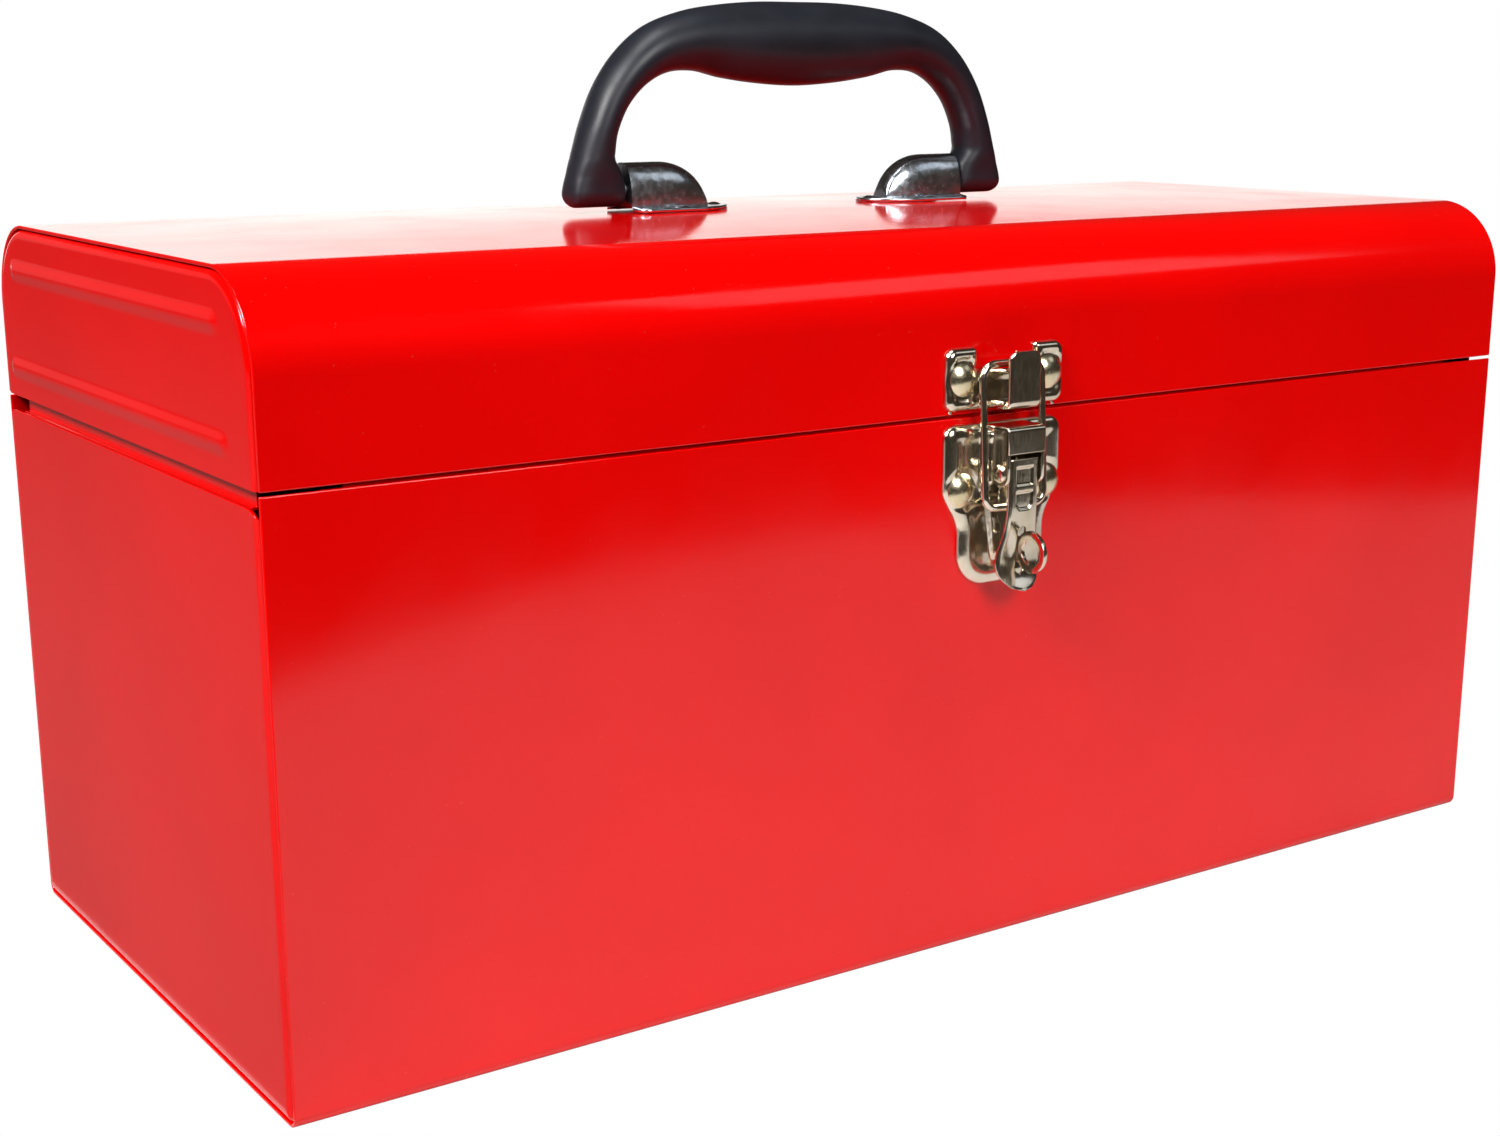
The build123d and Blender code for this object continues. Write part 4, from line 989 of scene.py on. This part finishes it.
def build_lever():
    """Lever: a channel whose skin follows a side curve and whose width follows a
    front curve. Each row goes from one flange's edge over the face to the other.
    Two panels are pressed in, and a slot for the padlock eye parts the middle."""
    eye_z = sum(box_mm("latch_padlock_eye")[i][2] for i in (0, 1)) / 2
    top_z, foot_z, tip_z = 134.7, 102.6, 100.2
    tip_rows = tip_z + 2.4 * (1 - np.sin(np.linspace(0.05, math.pi / 2, 16)))
    rows = np.concatenate([np.linspace(top_z, foot_z, 116), tip_rows])
    keys = LEVER_KEYS[::-1]
    face = through(keys[:, 0], keys[:, 1], rows)
    width = through(keys[:, 0], keys[:, 2], rows)
    round_z, round_half, round_deep = 107.2, 7.35, 7.0
    below = np.clip((round_z - rows) / round_deep, 0, 1)
    width = np.where(rows < round_z, round_half * np.sqrt(np.maximum(1 - below ** 2, 0)), width)
    flange_z = [tip_z, 105.0, 113.0, 117.0, 120.5, 133.2, top_z]
    flange = np.interp(rows, flange_z, [0.0, 0.9, 1.1, 2.4, 5.6, 5.2, 3.4])
    flange = np.minimum(flange, width * 0.9)
    bend = np.minimum(0.9, np.minimum(flange, width * 0.4))
    slot_r, slot_straight = 1.4, 5.0
    past = np.maximum(np.abs(rows - eye_z) - slot_straight, 0)
    slot_half = slot_r * np.sqrt(np.maximum(1 - past ** 2 / slot_r ** 2, 0))
    slot_half = np.where(np.abs(rows - eye_z) < slot_straight + slot_r, slot_half, 0)
    across = np.concatenate(
        [np.linspace(0, 1, 26), 1 + np.linspace(0, 1, 9)[1:], 2 + np.linspace(0, 1, 8)[1:]]
    )
    flat = np.clip(across, 0, 1)
    turn = np.clip(across - 1, 0, 1) * math.pi / 2
    down = np.clip(across - 2, 0, 1)
    edge = (width - bend)[:, None]
    u = slot_half[:, None] + (edge - slot_half[:, None]) * flat + bend[:, None] * np.sin(turn)
    off = face[:, None] - bend[:, None] * (1 - np.cos(turn)) - (flange - bend)[:, None] * down
    z = np.broadcast_to(rows[:, None], u.shape)
    panel_half, edge_soft = 2.9, 0.5
    window = smooth((panel_half - np.abs(u)) / edge_soft) * smooth((2.6 - np.abs(z - 130.2)) / edge_soft)
    from_arc = np.hypot(np.maximum(np.abs(u) - 1.4, 0) + 1.4, np.maximum(123.6 - z, 0) * 1.1)
    lower = smooth((panel_half - from_arc) / edge_soft)
    lower *= smooth((126.4 - z) / edge_soft) * (z > 119.5)
    crown = 0.35 * (1 - np.clip(u / np.maximum(width[:, None], 0.5), 0, 1) ** 2)
    off = off - 0.55 * np.maximum(window, lower) * (across <= 1) + crown * (across <= 1)
    shell = Shell()
    for side in (-1, 1):
        shell.grid(on_front(side * u, off, z), flip=side > 0)
    piece = make_piece(
        "latch_lever_pressing", shell, "lever", NICKEL, ["latch_lever"],
        solidify=0.75, sharp=60,
    )
    face_outwards(piece, (0, -1, 0))


def build_bail():
    """Bail: one round wire, up both sides and across behind the strike's tongue."""
    low, high = box_mm("latch_bail")
    wire = 1.05
    half = (high[0] - low[0]) / 2 - wire
    foot_z, top_z = low[2] + wire, high[2] - wire
    foot_off, top_off = FRONT - low[1] - wire, FRONT - high[1] + wire
    lean = math.atan2(foot_off - top_off, top_z - foot_z)
    length = math.hypot(foot_off - top_off, top_z - foot_z)
    end = LEVER_HALF - LEVER_T - 0.2
    corners = [(-end, 0), (-half, 0), (-half, length), (half, length), (half, 0), (end, 0)]
    flat = rounded_path(corners, [0, 3.2, 3.9, 3.9, 3.2, 0], step=8, guard=0.3)
    keep = np.linalg.norm(np.diff(flat, axis=0), axis=1) > 0.02
    flat = flat[np.concatenate([[True], keep])]
    path = on_front(flat[:, 0], foot_off - flat[:, 1] * math.sin(lean), foot_z + flat[:, 1] * math.cos(lean))
    normal = np.array([0, -math.cos(lean), math.sin(lean)])
    tangent = np.gradient(path, axis=0)
    tangent /= np.linalg.norm(tangent, axis=1)[:, None]
    side = np.cross(tangent, normal)
    angle = np.linspace(0, 2 * math.pi, 22, endpoint=False)
    rings = (
        path[:, None]
        + wire * np.cos(angle)[None, :, None] * normal
        + wire * np.sin(angle)[None, :, None] * side[:, None]
    )
    shell = Shell().grid(rings, closed=True, caps=True)
    make_piece("latch_wire_bail", shell, "bail", NICKEL, ["latch_bail"])


def build_strike():
    """Strike: two dished wings joined by a low strip, and a doubled tongue that comes
    out along the bottom, turns up and ends in a rounded tip."""
    bottom_z, top_z = strike_low[2], strike_high[2]
    half = (strike_high[0] - strike_low[0]) / 2
    notch, strip_z = 9.5, bottom_z + 10.6
    corner_r, notch_r = 3, 1.2
    corners = [
        (half, bottom_z), (half, top_z), (notch, top_z), (notch, strip_z),
        (-notch, strip_z), (-notch, top_z), (-half, top_z), (-half, bottom_z),
    ]
    radii = [corner_r, corner_r, notch_r, 0.8, 0.8, notch_r, corner_r, corner_r]
    outline = rounded_path(corners, radii, closed=True, guard=0.05)
    rounding = np.linspace(0, math.pi / 2, 14)
    low_rows = np.concatenate(
        [bottom_z + 1.6 * (1 - np.cos(rounding)), np.linspace(bottom_z + 1.6, strip_z, 26)[1:]]
    )
    high_rows = np.concatenate(
        [np.linspace(strip_z, top_z - 2.5, 12)[1:], top_z - 2.5 * (1 - np.sin(rounding))[1:]]
    )
    rows = np.concatenate([low_rows, high_rows])
    in_corner = np.maximum(corner_r - np.minimum(rows - bottom_z, top_z - rows), 0)
    corner_in = corner_r - np.sqrt(np.maximum(corner_r ** 2 - in_corner ** 2, 0))
    in_notch = np.maximum(notch_r - (top_z - rows), 0)
    inner_in = notch_r - np.sqrt(np.maximum(notch_r ** 2 - in_notch ** 2, 0))
    outer_u = half - corner_in
    inner_u = notch + inner_in
    share = (graded(34, 10, 0.22) + 1) / 2
    rivet_low, rivet_high = box_mm("strike_rivets")
    rivet_z = (rivet_low[2] + rivet_high[2]) / 2
    rivet_u = (rivet_high[0] - rivet_low[0]) / 2 - HEAD_R

    def height(u, z):
        depth = distance_inside(u, z, outline)
        lift = rolled_rim(depth, RISE, 1.9) - 0.3 * smooth((depth - 1.8) / 1.4)
        return np.maximum(lift - cup(np.abs(u), z, rivet_u, rivet_z, SEAT_R, 0.3), 0)

    shell = Shell()
    for side in (-1, 1):
        u = side * (inner_u[:, None] + (outer_u - inner_u)[:, None] * share)
        z = np.broadcast_to(rows[:, None], u.shape)
        shell.grid(on_front(u, height(u, z), z), flip=side < 0)
    u = np.broadcast_to(np.linspace(-notch, notch, 40)[None], (len(low_rows), 40))
    z = np.broadcast_to(low_rows[:, None], u.shape)
    shell.grid(on_front(u, height(u, z), z))
    piece = make_piece(
        "latch_strike_pressing", shell, "lid", NICKEL, ["latch_strike"],
        solidify=0.8, sharp=60,
    )
    face_outwards(piece, (0, -1, 0))
    # tongue
    tongue_half, tongue_t, tip_r = 5.2, 1.9, 2.4
    front_off = FRONT - strike_low[1]
    low_z, tip_z = bottom_z + 0.6, bottom_z + 15.4
    side_line = rounded_path([(1.4, low_z), (front_off, low_z), (front_off, tip_z)], [0, 1.9, 0], step=6)
    gaps = np.linalg.norm(np.diff(side_line, axis=0), axis=1)
    long_gap = int(np.argmax(gaps))
    fill = np.linspace(side_line[long_gap], side_line[long_gap + 1], 26)[1:-1]
    side_line = np.concatenate([side_line[: long_gap + 1], fill, side_line[long_gap + 1 :]])
    last = side_line[-1, 1] - tip_r * (1 - np.sin(np.linspace(0, math.pi / 2, 12)))
    keep = side_line[:, 1] < last[0] - 0.05
    side_line = np.concatenate([side_line[keep], np.stack([np.full(12, front_off), last], 1)])
    from_tip = np.maximum(tip_r - (tip_z - side_line[:, 1]), 0)
    span = tongue_half - (tip_r - np.sqrt(np.maximum(tip_r ** 2 - from_tip ** 2, 0)))
    cols = graded(18, 8, 0.12)
    u = span[:, None] * cols
    round_side = 0.9 * (1 - np.sqrt(np.maximum(1 - np.clip((np.abs(cols) - 0.83) / 0.17, 0, 1) ** 2, 0)))
    off = side_line[:, 0, None] - round_side
    z = np.broadcast_to(side_line[:, 1, None], u.shape)
    shell = Shell().grid(on_front(u, off, z))
    tongue = make_piece(
        "latch_strike_tongue", shell, "lid", NICKEL, solidify=tongue_t, bevel=0.3, sharp=60
    )
    face_outwards(tongue, (0, -1, 0))
    ledge_z = bottom_z + 10.8
    ledge_out = front_off - tongue_t
    ledge = np.array(
        [(1.0, ledge_z - 1.0), (ledge_out, ledge_z - 1.0), (ledge_out, ledge_z), (1.0, ledge_z)]
    )
    ends = np.array([-tongue_half + 0.5, tongue_half - 0.5])
    bar = on_front(ends[:, None], ledge[None, :, 0], ledge[None, :, 1])
    shell = Shell().grid(bar, closed=True, caps=True)
    make_piece("latch_strike_ledge", shell, "lid", NICKEL, bevel=0.15)


build_body_wrap()
build_front_lip()
build_ends()
build_lid_wrap()
build_hinge()
build_rivets()
build_brackets()
build_handle()
build_base_plate()
build_pivot_pin()
build_padlock_eye()
build_lever()
build_bail()
build_strike()


# ------------------------------------------------------------------- stage ---
TABLE_LEFT = -0.203


def hidden_stage(name, corners, material):
    """A flat piece of the studio that lights and is mirrored but isn't seen itself."""
    mesh = bpy.data.meshes.new(name)
    mesh.from_pydata(corners, [], [list(range(len(corners)))])
    mesh.materials.append(material)
    obj = bpy.data.objects.new(name, mesh)
    bpy.context.scene.collection.objects.link(obj)
    obj.visible_camera = False


def area_light(name, place, towards, size, power):
    """A soft rectangular light that looks at a point."""
    lamp = bpy.data.lights.new(name, "AREA")
    lamp.shape = "RECTANGLE"
    lamp.size, lamp.size_y = size
    lamp.energy = power
    obj = bpy.data.objects.new(name, lamp)
    obj.location = place
    obj.rotation_euler = (Vector(towards) - Vector(place)).to_track_quat("-Z", "Y").to_euler()
    bpy.context.scene.collection.objects.link(obj)


def glow(name, colour, strength):
    """A white surface that shines by itself a little, for a table or a backdrop."""
    material, _, shader, _ = new_material(name, Roughness=0.6)
    shader.inputs["Base Color"].default_value = linear(colour)
    shader.inputs["Emission Color"].default_value = linear(colour)
    shader.inputs["Emission Strength"].default_value = strength
    return material


def build_stage():
    """A white table top whose front edge bows out, a grey floor at its left, a low
    white backdrop behind, darkness above and in front, and soft boxes from the
    left and above. The edge is y = -0.555 + (x - 0.28)^2, in metres."""
    edge_x = np.linspace(TABLE_LEFT, 1.1, 40)
    edge_y = np.minimum(-0.555 + (edge_x - 0.28) ** 2, 0.1)
    front = [(x, y, 0.0) for x, y in zip(edge_x.tolist(), edge_y.tolist())]
    table = front + [(3.0, 0.1, 0.0), (3.0, 3.0, 0.0), (TABLE_LEFT, 3.0, 0.0)]
    floor = [(-3, -0.3, 0), (TABLE_LEFT, -0.3, 0), (TABLE_LEFT, 3, 0), (-3, 3, 0)]
    backdrop = [(-0.35, 3, -0.1), (5, 3, -0.1), (5, 3, 0.95), (-0.35, 3, 0.95)]
    wall = [(-4, 3, -0.1), (-0.35, 3, -0.1), (-0.35, 3, 0.95), (-4, 3, 0.95)]
    hidden_stage("table_top", table, glow("white_table", "#C8C7C5", 0.06))
    hidden_stage("side_floor", floor, glow("grey_floor", "#6C6A68", 0.0))
    hidden_stage("backdrop", backdrop, glow("white_backdrop", "#F4F0EC", 1.15))
    hidden_stage("side_wall", wall, glow("dim_wall", "#8C8886", 0.35))
    card = [(1.0, -1.5, 1.1), (1.7, -1.1, 1.1), (1.6, -0.9, 1.6), (0.9, -1.3, 1.6)]
    hidden_stage("high_card", card, glow("dim_card", "#E6EEF6", 0.6))
    world = bpy.data.worlds.new("studio")
    bpy.context.scene.world = world
    world.use_nodes = True
    tree = world.node_tree
    seen = add_node(tree, "ShaderNodeLightPath").outputs["Is Camera Ray"]
    background = tree.nodes["Background"]
    tree.links.new(spread(tree, seen, 0, 1, 0.035, 1.0), background.inputs["Strength"])
    tree.links.new(blended(tree, seen, "#FFE9CC", "#FFFFFF"), background.inputs["Color"])
    area_light("front_soft_box", (-0.2, -1.9, 1.3), (0.05, 0, 0.1), (0.9, 0.9), 28.5)
    area_light("left_soft_box", (-1.25, -0.35, 1.25), (-0.2, 0, 0.1), (0.6, 0.6), 38.0)
    area_light("top_soft_box", (-0.3, -0.1, 1.7), (0, 0, 0.1), (0.6, 0.6), 9.5)


def build_camera():
    """Camera at eye height before the left front corner."""
    lens = bpy.data.cameras.new("camera")
    lens.lens = 52.64
    lens.sensor_width = 36.0
    lens.shift_x = -0.0089
    lens.shift_y = 0.0304
    lens.clip_start = 0.01
    camera = bpy.data.objects.new("camera", lens)
    camera.location = (-0.3670, -0.5212, 0.2329)
    camera.rotation_euler = (math.radians(75.962), 0.0, math.radians(-34.384))
    bpy.context.scene.collection.objects.link(camera)
    bpy.context.scene.camera = camera


build_stage()
build_camera()
bpy.context.scene.view_settings.view_transform = "Standard"
